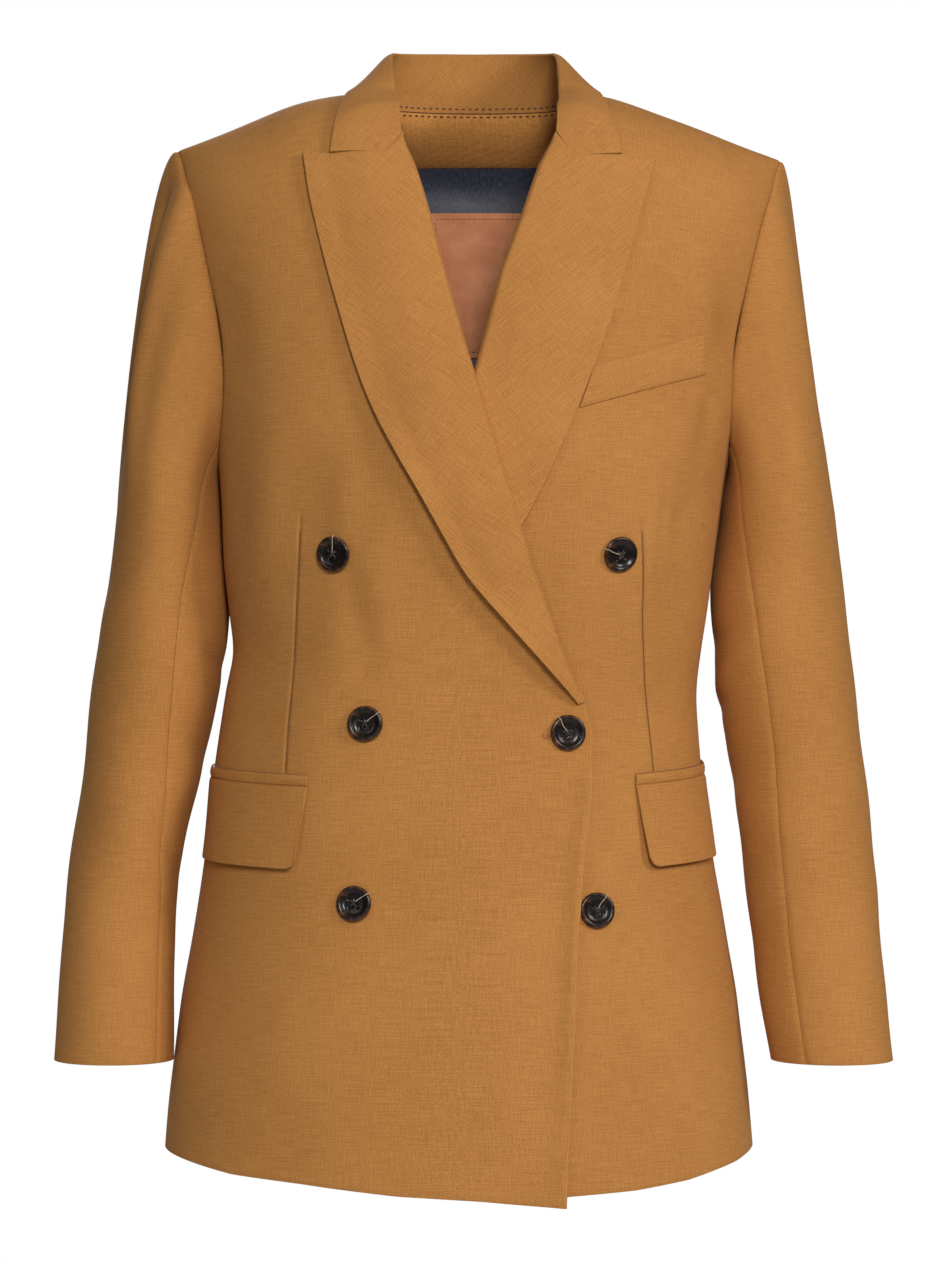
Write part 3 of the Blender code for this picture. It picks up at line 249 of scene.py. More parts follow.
LEAF_SIZE = (190, 36)
STAND_DROP = 0.0013
STAND_ASIDE = 0.0017
STAND_INSIDE = 0.958
STAND_SIZE = (140, 16)
NECK_COLUMNS = 5
NECK_FRONT_TURN = 15.0      # turn round the armhole at the neck seam's front end
# The collar's roll over its fold: distance in towards the neck, and down
FOLD_OVER = ((0.0016, 0.0013), (0.0010, 0.0003))
FOLD_FADE = (0.86, 0.97)

# Sleeves below the armhole, and the turn of the front seam
SleeveRow = namedtuple(
    "SleeveRow",
    "level out_right half_right seam_right out_left half_left seam_left depth_y half_depth",
)
SLEEVE_ROWS = (
    SleeveRow(-0.285, 0.2054, 0.0363, 128, 0.2062, 0.0390, 134, 0.012, 0.064),
    SleeveRow(-0.330, 0.2070, 0.0411, 110, 0.2065, 0.0441, 119, 0.014, 0.060),
    SleeveRow(-0.378, 0.2114, 0.0434, 107, 0.2095, 0.0465, 112, 0.006, 0.056),
    SleeveRow(-0.446, 0.2216, 0.0414, 116, 0.2175, 0.0461, 112, -0.002, 0.051),
    SleeveRow(-0.514, 0.2334, 0.0375, 131, 0.2252, 0.0442, 117, -0.010, 0.047),
    SleeveRow(-0.548, 0.2373, 0.0368, 141, 0.2283, 0.0436, 118, -0.016, 0.0455),
    SleeveRow(-0.582, 0.2392, 0.0382, 141, 0.2315, 0.0429, 119, -0.022, 0.044),
    SleeveRow(-0.652, 0.2408, 0.0401, 139, 0.2402, 0.0414, 119, -0.034, 0.0415),
)
CAP_ROWS = 34
SLEEVE_STEPS = 100
SLEEVE_COLUMNS = (64, 34)       # of the upper and the under piece
SLEEVE_WIDTHS = (0.13, 0.07)
CAP_CLEAR = 0.0002
BACK_SEAM_TURN = 255
FRONT_SEAM_TURN = 150
CAP_TOP_REACH = {"right": 0.017, "left": 0.008}
CAP_TOP_LEAN = {"right": 0.05, "left": 0.16}
CAP_SIDE_REACH = 0.022
CAP_UNDER_REACH = 0.0025
CAP_TOP_HANG = 0.105
CAP_SIDE_HANG = 0.070
CAP_UNDER_HANG = 0.014
CAP_DROP = 0.26
CAP_UNDER_DROP = 0.90
CAP_TURN_IN = 0.30

# Pockets, welt and label
PocketRow = namedtuple("PocketRow", "side corner_x corner_level rise")
POCKET_ROWS = (
    PocketRow("right", -0.1073, -0.4672, 0.0050),
    PocketRow("left", 0.1067, -0.4664, 0.0080),
)
FLAP_WIDTH = 0.128
FLAP_HEIGHT = 0.055
FLAP_LEAN = 0.0085
FLAP_CORNER = 0.006
FLAP_GAP = 0.0008       # between the jet and the flap's top
FLAP_STAND = 0.0030
FLAP_SIZE = (30, 60)
FLAP_STAND_FADE = (0.35, 0.8)
FLAP_WAVE = 0.0007
FLAP_WAVES = 1.6
FLAP_TILT = (0.0012, 0.02)      # how far the flap's corner stands off, and over what width
JET_HEIGHT = 0.0062
JET_COLUMNS = 50
JET_ROWS = (-JET_HEIGHT, -0.0058, -0.003, -0.0004, 0.0)
JET_ROUND = 0.0006
JET_SHADE_LINES = (-0.0068, 0.0004)       # dark lines above and below the jet, painted shadow in its seams
WELT_TOP = [(0.0783, -0.1934), (0.1494, -0.1712)]
WELT_BOTTOM = [(0.0692, -0.2197), (0.1515, -0.1960)]
WELT_BOW = 0.0007
WELT_COLUMNS = (40, 14)
WELT_WIDTHS = (0.075, 0.026)
LABEL_LOW = (-0.030, -0.174)
LABEL_HIGH = (0.055, -0.073)
LABEL_SIZE = (0.085, 0.101)
LABEL_COLUMNS = (0.001, 0.003, 0.006)
LABEL_STITCH = 0.0032       # how far in its stitches run
LABEL_GROOVE = (0.00035, 0.0006)        # depth and width
LABEL_THREAD = (0.0030, 0.0008, 0.00022)        # length, gap and radius
LABEL_RIPPLE = (0.0002, 0.4, 4)
LABEL_COUNTS = (40, 44)
LABEL_CLEAR = 0.0002    # between the lining and the patch
LABEL_THREAD_OUT = 0.00005
SATIN_RIPPLE = 0.0006       # how far the satin lies in from the backs on the whole
SATIN_SHARE = 0.4       # share of that in its waves
SATIN_WAVES = (1.0, 0.05, 8)
FACING_LEVEL = -0.0405      # where the neck facing ends behind the neck
FACING_STRAIGHT = (0.062, 0.095)
FACING_SETTLES = 0.06
FACING_BOW = 0.006
FACING_STEP = 0.0030
FACING_ROWS = 16
LINING_ROWS = (40, 60)      # behind the armholes, and below them
LINING_COLUMNS = 60     # on either side of the middle
JOIN_LEVEL = -0.0083        # where stand and facing meet behind the neck
JOIN_PLACE = (0.052, 0.075)
JOIN_INSIDE = 0.958
NECK_STITCH = (0.0022, 0.0024, 0.00060)     # length, gap and radius
NECK_LINES = (0.0002, 0.0034)       # the seam and the stitches, down from the facing's top
NECK_THREAD = 0.0004
NECK_LINE_OUT = 0.0001
STAND_LINE_OUT = 0.0002
STAND_SEWN = 0.062      # the stitches reach this far across
FACING_SEWN = 0.060
STITCH_SHARES = np.array([0.0, 0.12, 0.5, 0.88, 1.0])
STITCH_THICK = np.array([0.45, 0.9, 1.0, 0.9, 0.45])
STITCH_SIDES = 6
SEAM_POINTS = 120
LABEL_POINTS = 200
DART_POINTS = 60
ROLL_POINTS = 160
LOOSE_POINTS = 28
STRAND_POINTS = 15

# Darts, seen from the front
DartRow = namedtuple("DartRow", "z right_x left_x")
DART_ROWS = (
    DartRow(-0.200, -0.1090, 0.1090),
    DartRow(-0.297, -0.1137, 0.1104),
    DartRow(-0.355, -0.1168, 0.1112),
    DartRow(-0.400, -0.1189, 0.1136),
    DartRow(-0.458, -0.1234, 0.1192),
    DartRow(-0.745, -0.1500, 0.1400),
)
DART_ENDS = (-0.288, -0.300, -0.458, -0.466)
DART_DEPTH = 0.0012
DART_WIDTH = 0.0008
DART_NEAR = (0.0004, 0.0008, 0.0015, 0.0030)
DART_SHARES = (0.25, 0.8)       # shares of a front between which its dart's columns stay
# radius of the dark brown lines along the darts and jets, painted shadow in their seams
SHADE_LINE_RADIUS = 0.00022

# The curl of the right front's free edge, and the thin lighter tube along it, a painted highlight
# on its fold
EDGE_LIFT = 0.0055
EDGE_LIFT_WIDTH = 0.0065
EDGE_LIFT_PLACE = 0.0016        # how far in its crest lies
EDGE_LIFT_FALL = 0.0006
EDGE_LIFTS = (0.447, 0.466)
EDGE_SETTLES = (0.600, 0.730)
EDGE_SETTLED = 0.6      # share of the curl that is lost there
EDGE_HIGHLIGHT_RADIUS = 0.0007
EDGE_HIGHLIGHT_IN = 0.0007
EDGE_HIGHLIGHT_OUT = -0.0003
EDGE_HIGHLIGHT_ENDS = (-0.4130, -0.7385)

# Creases of the body: both ends seen from the front, width, and height (down if negative)
Crease = namedtuple("Crease", "x_top z_top x_bottom z_bottom width height")
FRONT_CREASES = (
    Crease(0.1291, -0.245, 0.1170, -0.355, 0.0034, -0.0024),
    Crease(0.1600, -0.190, 0.1490, -0.265, 0.0065, -0.0030),
    Crease(0.131, -0.235, 0.112, -0.370, 0.009, 0.0034),
    Crease(0.150, -0.250, 0.130, -0.330, 0.012, -0.0023),
    Crease(-0.134, -0.180, -0.142, -0.400, 0.016, 0.0044),
    Crease(-0.168, -0.200, -0.160, -0.400, 0.012, 0.0029),
    Crease(-0.080, -0.225, -0.088, -0.330, 0.012, 0.0029),
    Crease(0.143, -0.085, 0.167, -0.250, 0.013, 0.0047),
    Crease(-0.120, -0.560, -0.135, -0.700, 0.022, 0.0026),
    Crease(0.120, -0.560, 0.130, -0.700, 0.022, 0.0026),
    Crease(-0.172, -0.085, -0.150, -0.240, 0.014, -0.0021),
    Crease(0.176, -0.095, 0.154, -0.235, 0.013, -0.0021),
    Crease(-0.087, -0.290, -0.064, -0.420, 0.010, -0.0022),
    Crease(-0.062, -0.300, -0.046, -0.420, 0.014, 0.0016),
    Crease(-0.040, -0.440, -0.058, -0.640, 0.020, -0.0018),
    Crease(0.020, -0.450, 0.004, -0.690, 0.024, 0.0016),
    Crease(0.100, -0.470, 0.098, -0.640, 0.014, -0.0013),
)
BACK_CREASES = (
    Crease(-0.130, -0.130, -0.118, -0.300, 0.014, -0.0026),
    Crease(0.128, -0.120, 0.112, -0.285, 0.013, -0.0029),
    Crease(-0.060, -0.060, -0.030, -0.190, 0.018, 0.0021),
    Crease(0.055, -0.055, 0.034, -0.200, 0.018, 0.0018),
    Crease(-0.100, -0.360, -0.040, -0.430, 0.012, -0.0021),
    Crease(0.110, -0.350, 0.050, -0.440, 0.013, -0.0023),
    Crease(-0.070, -0.500, -0.085, -0.700, 0.022, 0.0029),
    Crease(0.065, -0.490, 0.082, -0.700, 0.024, 0.0026),
    Crease(-0.130, -0.480, -0.150, -0.690, 0.018, -0.0021),
    Crease(0.125, -0.500, 0.146, -0.690, 0.018, -0.0021),
)
# Creases round the sleeves: side, level, turn in degrees, slant, width, height, reach
SleeveCrease = namedtuple("SleeveCrease", "side level turn slant width height reach")
SLEEVE_CREASES = (
    SleeveCrease("right", -0.340, 60, 0.030, 0.014, 0.0020, 90),
    SleeveCrease("right", -0.440, 150, -0.030, 0.014, -0.0022, 90),
    SleeveCrease("right", -0.480, 120, 0.035, 0.016, 0.0020, 90),
    SleeveCrease("right", -0.385, 165, -0.020, 0.008, -0.0018, 60),
    SleeveCrease("right", -0.520, 150, -0.024, 0.009, -0.0014, 55),
    SleeveCrease("right", -0.300, 250, 0.030, 0.010, -0.0020, 70),
    SleeveCrease("right", -0.410, 265, 0.024, 0.010, -0.0022, 75),
    SleeveCrease("right", -0.445, 280, 0.030, 0.009, 0.0016, 70),
    SleeveCrease("left", -0.400, 160, -0.035, 0.014, 0.0022, 90),
    SleeveCrease("left", -0.455, 150, -0.030, 0.014, -0.0022, 90),
    SleeveCrease("left", -0.520, 60, 0.030, 0.018, 0.0018, 90),
    SleeveCrease("left", -0.365, 150, -0.028, 0.008, -0.0020, 60),
    SleeveCrease("left", -0.415, 175, -0.024, 0.007, -0.0018, 50),
    SleeveCrease("left", -0.560, 140, -0.030, 0.010, -0.0014, 60),
    SleeveCrease("left", -0.315, 255, 0.028, 0.010, -0.0020, 70),
    SleeveCrease("left", -0.425, 270, 0.022, 0.010, -0.0022, 75),
    SleeveCrease("left", -0.460, 285, 0.030, 0.009, 0.0016, 70),
)

# Long folds down the sleeves: side, turn, its width in degrees, where it starts, is full,
# starts to fade and ends, and height
SleeveFold = namedtuple("SleeveFold", "side turn width start full fades ends height")
SLEEVE_FOLDS = (
    SleeveFold("right", 47, 10, -0.045, -0.090, -0.200, -0.290, 0.0046),
    SleeveFold("right", 23, 10, -0.045, -0.090, -0.200, -0.290, -0.0054),
    SleeveFold("right", 95, 16, -0.120, -0.180, -0.240, -0.330, -0.0012),
    SleeveFold("left", 40, 15, -0.060, -0.110, -0.180, -0.250, 0.0016),
    SleeveFold("left", 12, 13, -0.060, -0.110, -0.180, -0.250, -0.0018),
    SleeveFold("left", 100, 16, -0.110, -0.170, -0.250, -0.340, -0.0014),
    SleeveFold("right", -40, 15, -0.080, -0.140, -0.240, -0.330, 0.0022),
    SleeveFold("right", -66, 12, -0.080, -0.140, -0.240, -0.330, -0.0022),
    SleeveFold("left", -44, 15, -0.080, -0.140, -0.230, -0.320, 0.0022),
    SleeveFold("left", -70, 12, -0.080, -0.140, -0.230, -0.320, -0.0022),
)
SLEEVE_ARC = 0.0007     # metres round a sleeve to a degree
SLEEVE_RIPPLE = {"right": (0.0007, 0.08, 12), "left": (0.0007, 0.08, 11)}

# Buttons: the turn of each one's loose light thread in degrees, and the profile of all,
# as radius and height, from the face over the rim to the middle of the back
BUTTON_THREADS = (90, 160, 40, 125, 35, 60)
BUTTON_RADIUS = 0.0118
BUTTON_PROFILE = (
    (0.0034, 0.0024), (0.0058, 0.0024), (0.0074, 0.0027), (0.0085, 0.0035), (0.0096, 0.0041),
    (0.0106, 0.0041), (0.0113, 0.0037), (0.0117, 0.0031), (0.0118, 0.0025), (0.0116, 0.0019),
    (0.0108, 0.0011), (0.0092, 0.0005), (0.0060, 0.0001), (0.0000, 0.0000),
)
BUTTON_SEGMENTS = 72
HOLE_PLACE = 0.0021
HOLE_RADIUS = 0.0010
HOLE_ENDS = (-0.002, 0.006)      # past both faces
HOLE_SEGMENTS = 20
STRANDS = (-0.000294, 0.0, 0.000294)
STRAND_LEVEL = 0.0027
STRAND_BOW = 0.0007
STRAND_DIP = 0.0022
STRAND_DIPS = (0.80, 1.0)
STRAND_CROSS = 0.0002
STRAND_RADIUS = 0.00032
# The loose light thread: distance from the middle, and height
LOOSE_THREAD = (
    (0.0012, 0.0034), (0.0035, 0.0031), (0.0062, 0.0031), (0.0080, 0.0037),
    (0.0094, 0.0045), (0.0106, 0.0045), (0.0116, 0.0036), (0.0124, 0.0022),
)
LOOSE_RADIUS = 0.00026
LOOSE_SWAY = 0.0004
LOOSE_WAVES = 420
# The buttonhole of button 4: both ends seen from the front, how far its line stands out, and
# the threads at its sides and round its end, as (distance out from the line, height)
BUTTONHOLE_START = (0.0462, -0.4346)
BUTTONHOLE_END = (0.0640, -0.4325)
BUTTONHOLE_OUT = 0.0003
BUTTONHOLE_SIDE = ((0.0002, -0.0002), (0.0002, 0.0002), (0.00105, 0.0003), (0.0019, -0.0004))
BUTTONHOLE_TIP = ((0.0003, 0.0), (0.0011, 0.0004), (0.0022, -0.0004))
BUTTONHOLE_COUNTS = (30, 9)     # threads at each side, and round the end

# The cut of each cloth piece: flat width, length and area, how it is held, then its thickness,
# material and slot. Jets and flaps have one cut for both sides.
Cut = namedtuple(
    "Cut", "width length area held wall material slot",
    defaults=("hung", WALL, "camel_wool", "wool"),
)
CUTS = {
    "front_right": Cut(0.371, 0.832, 0.2016),
    "front_left": Cut(0.358, 0.818, 0.1960),
    "back_right": Cut(0.241, 0.783, 0.1502),
    "back_left": Cut(0.241, 0.783, 0.1503),
    "sleeve_upper_right": Cut(0.385, 0.620, 0.1080),
    "sleeve_upper_left": Cut(0.386, 0.617, 0.1095),
    "sleeve_under_right": Cut(0.140, 0.492, 0.0463),
    "sleeve_under_left": Cut(0.140, 0.490, 0.0493),
    "lapel_right": Cut(0.079, 0.430, 0.0232, "folded", WALL, "lapel_wool_right", "lapel_wool"),
    "lapel_left": Cut(0.082, 0.425, 0.0239, "folded", WALL, "lapel_wool_left", "lapel_wool"),
    "collar_leaf": Cut(0.478, 0.061, 0.0198, "folded", WALL, "collar_wool", "lapel_wool"),
    "collar_stand": Cut(0.283, 0.040, 0.0094, "folded", WALL, "stand_wool", "wool"),
    "neck_facing": Cut(0.219, 0.106, 0.0093, "laid", LINING, "facing_wool_painted_light", "wool"),
    "lining_back": Cut(0.383, 0.636, 0.2089, "hung", LINING, "navy_satin", "lining_satin"),
    "label_patch": Cut(0.085, 0.101, 0.0085, "laid", LEATHER, "tan_leather", "leather"),
    "pocket_jet": Cut(0.131, 0.010, 0.0010, "laid", LINING),
    "pocket_flap": Cut(0.131, 0.056, 0.0073),
    "breast_welt": Cut(0.095, 0.028, 0.0023, "laid", LINING),
}

# The wools: turn of the weave in degrees, tone, and the pitch of ribs where it has them
WoolRow = namedtuple("WoolRow", "name turn tone twill")
WOOL_ROWS = (
    WoolRow("camel_wool", 0.0, 1.0, 0.0),
    WoolRow("lapel_wool_right", 38.0, 1.03, 0.0),
    WoolRow("lapel_wool_left", -38.0, 1.03, 0.0),
    WoolRow("collar_wool", 45.0, 1.0, 0.0),
    WoolRow("stand_wool", 45.0, 0.95, 0.0016),
    # tone raised far over the camel wool's: painted light, for the light that barely reaches inside
    # the neck
    WoolRow("facing_wool_painted_light", 0.0, 1.65, 0.0020),
    # a lighter wool for the tube along the right front's edge: a painted highlight on its fold
    WoolRow("edge_highlight_wool", 0.0, 1.18, 0.0),
)
THREADS = {
    # brown thread for the label's stitches, and for the thin dark lines along the darts and jets
    # that paint the shadow in their seams
    "brown_thread_and_painted_shade": (0.20, 0.085, 0.028),
    "neck_thread": (0.15, 0.055, 0.014),
    "dark_thread": (0.030, 0.018, 0.013),
    "light_thread": (0.70, 0.55, 0.38),
    "rust_thread": (0.58, 0.21, 0.045),
}
WEAVE_PITCH = 0.0007
WOOL_COLOURS = np.array([(0.420, 0.176, 0.042), (0.600, 0.272, 0.078)])
SATIN_COLOURS = ((0.026, 0.030, 0.048), (0.064, 0.072, 0.112))
LEATHER_COLOURS = ((0.720, 0.250, 0.100), (0.940, 0.400, 0.190))
HORN_COLOURS = ((0.006, 0.005, 0.005), (0.020, 0.011, 0.008), (0.130, 0.052, 0.020))
# The values on each kind of shader
WOOL_FINISH = {
    "Roughness": 0.85, "Specular IOR Level": 0.15, "Sheen Weight": 0.07,
    "Sheen Roughness": 0.5, "Sheen Tint": (0.95, 0.68, 0.38, 1.0),
}
SATIN_FINISH = {
    "Roughness": 0.42, "Specular IOR Level": 0.45, "Sheen Weight": 0.25,
    "Sheen Roughness": 0.4, "Sheen Tint": (0.35, 0.42, 0.60, 1.0),
}
LEATHER_FINISH = {"Roughness": 0.62, "Specular IOR Level": 0.35}
HORN_FINISH = {
    "Roughness": 0.30, "Specular IOR Level": 0.25, "Coat Weight": 0.18, "Coat Roughness": 0.10,
}
THREAD_FINISH = {"Roughness": 0.6, "Sheen Weight": 0.2}
FLOOR_FINISH = {"Base Color": (0.80, 0.80, 0.80, 1.0), "Roughness": 0.9}
# The materials by these names, as they are made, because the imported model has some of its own
MATERIALS = {}

LightRow = namedtuple("LightRow", "name place target width height power colour")
LIGHT_ROWS = (
    LightRow("key", (2.30, -1.90, 0.80), (0.0, 0.0, -0.35), 0.8, 0.8, 34.0, (1.0, 0.98, 0.95)),
    LightRow("front", (0.38, -3.00, 0.62), (0.0, 0.0, -0.20), 0.5, 0.9, 47.0, (1.0, 0.99, 0.97)),
    LightRow("fill", (-1.70, -2.50, 0.60), (0.0, 0.0, -0.10), 1.0, 1.0, 6.5, (1.0, 0.99, 0.97)),
    LightRow("top", (0.00, -0.40, 2.20), (0.0, 0.0, -0.30), 1.0, 1.0, 5.0, (1.0, 1.0, 1.0)),
    LightRow("back", (-0.80, 2.60, 0.80), (0.0, 0.0, -0.35), 1.4, 1.4, 36.0, (1.0, 1.0, 1.0)),
)
WORLD_LIGHT = 0.07
WORLD_SEEN = 1.0
FLOOR_RADIUS = 1.0
FLOOR_LEVEL = -0.95
FLOOR_SIDES = 96
CAMERA_PLACE = (0.0, -3.0, -0.3658)
CAMERA_LENS = 126.2
CAMERA_SENSOR = 36.0


# Tables and curves

def columns_of(rows, column):
    keys = np.array([row[0] for row in rows])
    values = np.array([getattr(row, column) for row in rows])
    if keys[0] > keys[-1]:
        keys, values = keys[::-1], values[::-1]
    return keys, values


def smooth(rows, column, at):
    """A smooth curve through a table's column, over its first column."""
    keys, values = columns_of(rows, column)
    slopes = np.gradient(values, keys)
    low = np.clip(np.searchsorted(keys, at) - 1, 0, len(keys) - 2)
    step = keys[low + 1] - keys[low]
    t = np.clip((at - keys[low]) / step, 0.0, 1.0)
    return (
        (2 * t**3 - 3 * t**2 + 1) * values[low]
        + (t**3 - 2 * t**2 + t) * step * slopes[low]
        + (3 * t**2 - 2 * t**3) * values[low + 1]
        + (t**3 - t**2) * step * slopes[low + 1]
    )


def linear(rows, column, at):
    return np.interp(at, *columns_of(rows, column))


def blend(low, high, at):
    """0 below low, 1 above high, smooth between."""
    t = np.clip((at - low) / (high - low), 0.0, 1.0)
    return t * t * (3 - 2 * t)


def lengths_along(points):
    """The length of a line of points up to each one."""
    steps = np.linalg.norm(np.diff(points, axis=0), axis=1)
    return np.concatenate([[0.0], np.cumsum(steps)])


def along(points, share):
    """Points at shares of a line's length."""
    points = np.array(points, float)
    lengths = lengths_along(points)
    return np.stack([np.interp(share, lengths / lengths[-1], row) for row in points.T], -1)


def unit(vectors):
    size = np.linalg.norm(vectors, axis=-1, keepdims=True)
    return vectors / np.maximum(size, 1e-12)


def curve_through(points, count):
    """A cubic curve through points, or through rows of them, as more points."""
    before, after = 2 * points[:1] - points[1:2], 2 * points[-1:] - points[-2:-1]
    padded = np.concatenate([before, points, after])
    at = np.linspace(0, len(points) - 1, count)
    low = np.minimum(at.astype(int), len(points) - 2)
    t = (at - low).reshape(-1, *[1] * (points.ndim - 1))
    a, b, c, d = (padded[low + k] for k in range(4))
    square, cube = 2 * a - 5 * b + 4 * c - d, 3 * b - a - 3 * c + d
    return 0.5 * (2 * b + (c - a) * t + square * t**2 + cube * t**3)


def refine(grid, rows, columns):
    """A finer grid through a coarse one, by cubic curves along its columns, then its rows."""
    grid = curve_through(grid, rows)
    return curve_through(grid.swapaxes(0, 1), columns).swapaxes(0, 1)


# The body surface

def body_section(level):
    """The values of the body's section at levels, by name."""
    at = {name: smooth(BODY_ROWS, name, level) for name in BodyRow._fields[1:]}
    t = np.clip(-level / SHOULDER_ROUND, 0.0, 1.0)
    over = np.sqrt(np.maximum(0.0, 1 - (1 - t) ** 2))
    at["front_depth"] = at["front_depth"] * over
    at["back_depth"] = at["back_depth"] * over
    return at


def shoulder_share(across):
    """The share of the side drop at places across: none at the neck, all at the tip."""
    t = (abs(across) - NECK_HALF) / (SHOULDER_HALF - NECK_HALF)
    return (np.hypot(t, SHOULDER_SOFT) + t) / 2 - RIGHT_RAISE * blend(*RAISE_PLACE, -across)


def body_base(angle, level):
    """Points of the body surface at angles and levels."""
    angle, level = np.broadcast_arrays(angle, level)
    at = body_section(level)
    power = 2 / at["squareness"]
    sine, cosine = np.sin(angle), np.cos(angle)
    across = at["half_width"] * np.sign(sine) * abs(sine) ** power
    depth = np.where(cosine > 0, at["front_depth"], at["back_depth"])
    y = -np.sign(cosine) * depth * abs(cosine) ** power
    z = level + at["side_drop"] * shoulder_share(across)
    return np.stack([at["middle_x"] + across, y, z], -1)


def body_normal(angle, level):
    """Unit vectors out of the body surface."""
    turn, drop = 0.004, 0.0008
    angle, level = np.broadcast_arrays(angle, level)
    round_it = body_base(angle + turn, level) - body_base(angle - turn, level)
    down = body_base(angle, level - drop) - body_base(angle, np.minimum(0.0, level + drop))
    normal = unit(np.cross(down, round_it))
    seam = body_base(angle, 0.0 * level) - body_base(0.8 * angle, 0.0 * level)
    over = np.stack([-seam[..., 2], 0.0 * level, seam[..., 0]], -1)
    over = unit(over * np.sign(seam[..., :1]))
    return np.where((level > -0.0001)[..., None], over, normal)


def body_at(angle, level):
    """Points and normals of the body surface, and their places across and up."""
    base = body_base(angle, level)
    return base, body_normal(angle, level), base[..., 0], base[..., 2]


def angle_of_x(x, level):
    """Angles on the front half, at places across."""
    at = body_section(level)
    share = np.clip((x - at["middle_x"]) / at["half_width"], -1.0, 1.0)
    return np.sign(share) * np.arcsin(abs(share) ** (at["squareness"] / 2))


def level_of_z(x, z):
    """Levels whose sections pass given heights at given places across."""
    level = np.minimum(z, 0.0)
    for _ in range(40):
        at = body_section(np.minimum(level, 0.0))
        level = z - at["side_drop"] * shoulder_share(x - at["middle_x"])
    return np.minimum(level, 0.0)


def height_at(x, y):
    """Height of the shoulder surface over places seen from above."""
    low, high = np.full(np.shape(x), -0.20), np.zeros(np.shape(x))
    for _ in range(40):
        middle = (low + high) / 2
        at = body_section(middle)
        share = np.minimum(1.0, abs(x - at["middle_x"]) / at["half_width"])
        depth = np.where(y < 0, at["front_depth"], at["back_depth"])
        reach = depth * (1 - share ** at["squareness"]) ** (1 / at["squareness"])
        inside = reach > abs(y)
        low, high = np.where(inside, middle, low), np.where(inside, high, middle)
    at = body_section(low)
    return low + at["side_drop"] * shoulder_share(x - at["middle_x"])


def angle_along(start, level, distance):
    """Angles that lie a distance further round the body from a start angle."""
    angles = start + np.sign(distance.sum()) * np.linspace(0.0, 2.2, 400)
    return np.interp(abs(distance), lengths_along(body_base(angles, level)), angles)


def edge_x(side, level):
    return linear(EDGE_ROWS, side + "_x", level)


def lap(x, level):
    """How far the right front stands out to lie over the left one."""
    under = edge_x("left", level)
    high = LAP_HIGH + (LAP_LOW - LAP_HIGH) * blend(*LAP_THINS, -level)
    t = np.clip((x - under + LAP_RAMP[0]) / (LAP_RAMP[0] - LAP_RAMP[1]), 0.0, 1.0)
    return high * blend(*LAP_GROWS, -level) * t * t * (3 - 2 * t)


def front_out(side, x, level):
    return lap(x, level) if side == "right" else 0.0 * x


def ripple(x, z, height, size, seed):
    """Faint unevenness of the cloth, from a few long waves."""
    chance = np.random.default_rng(seed)
    total = 0.0 * x
    for _ in range(7):
        turn, phase = chance.uniform(0, np.pi), chance.uniform(0, 2 * np.pi)
        length = size * chance.uniform(0.6, 1.6)
        total = total + np.sin((x * np.cos(turn) + z * np.sin(turn)) * 2 * np.pi / length + phase)
    return total * height / 3


def relief(creases, x, z):
    """How far creases and faint waves lift the cloth at places seen from the front."""
    total = ripple(x, z, *CLOTH_RIPPLE)
    for crease in creases:
        share = (crease.z_top - z) / (crease.z_top - crease.z_bottom)
        centre = crease.x_top + (crease.x_bottom - crease.x_top) * share
        ends = np.sin(np.pi * np.clip(share, 0.0, 1.0)) ** 2
        total = total + crease.height * ends * np.exp(-(((x - centre) / crease.width) ** 2))
    return total


def faded_relief(angle, x, z):
    """A front's relief, which fades towards its side seam."""
    return relief(FRONT_CREASES, x, z) * (1 - blend(*RELIEF_FADE, abs(angle)))


def inner_relief(x, z):
    """How far the dips of the backs push what lies inside them."""
    return np.minimum(0.0, relief(BACK_CREASES, x, z))


def lifted(points, lift, normals):
    return points + lift[..., None] * normals


def on_front(side, x, z, out=0.0):
    """Points on a front's outer face, or further out, and the normals there."""
    level = level_of_z(x, z)
    base, normals, base_x, base_z = body_at(angle_of_x(x, level), level)
    lift = relief(FRONT_CREASES, base_x, base_z) + front_out(side, x, level) + out
    return lifted(base, lift, normals), normals


# Armholes and hem

def armhole(side, degrees):
    """Angles and levels on the body at turns round the armhole, 0 at its top."""
    turn = np.radians(degrees)
    middle = (ARMHOLE_TOP[side] + ARMHOLE_BOTTOM) / 2
    z = middle + (ARMHOLE_TOP[side] - middle) * np.cos(turn)
    most = np.where(np.sin(turn) >= 0, ARMHOLE_FRONT, ARMHOLE_BACK)
    power = np.where(np.cos(turn) > 0, 0.5, 0.5 - 0.5 * np.cos(turn))
    share = most * np.maximum(0.0, abs(np.sin(turn)) - 1e-9) ** power
    level = z
    for _ in range(60):
        at = body_section(np.minimum(level, 0.0))
        across = at["half_width"] * (1 - share ** at["squareness"]) ** (1 / at["squareness"])
        level = z - at["side_drop"] * shoulder_share(SIGN[side] * across)
    level = np.where(abs(np.sin(turn / 2)) < 1e-6, 0.0, np.minimum(level, 0.0))
    angle = np.arccos(share ** (body_section(level)["squareness"] / 2))
    angle = np.where(np.sin(turn) < -1e-9, np.pi - angle, angle)
    return SIGN[side] * angle, level


def side_angle(side, level):
    """Angles of a side seam below the armhole."""
    extra = np.radians(SIDE_SEAM_TURN) * blend(-ARMHOLE_BOTTOM, -SIDE_SEAM_LEVEL, -level)
    return SIGN[side] * (np.pi / 2 + extra)


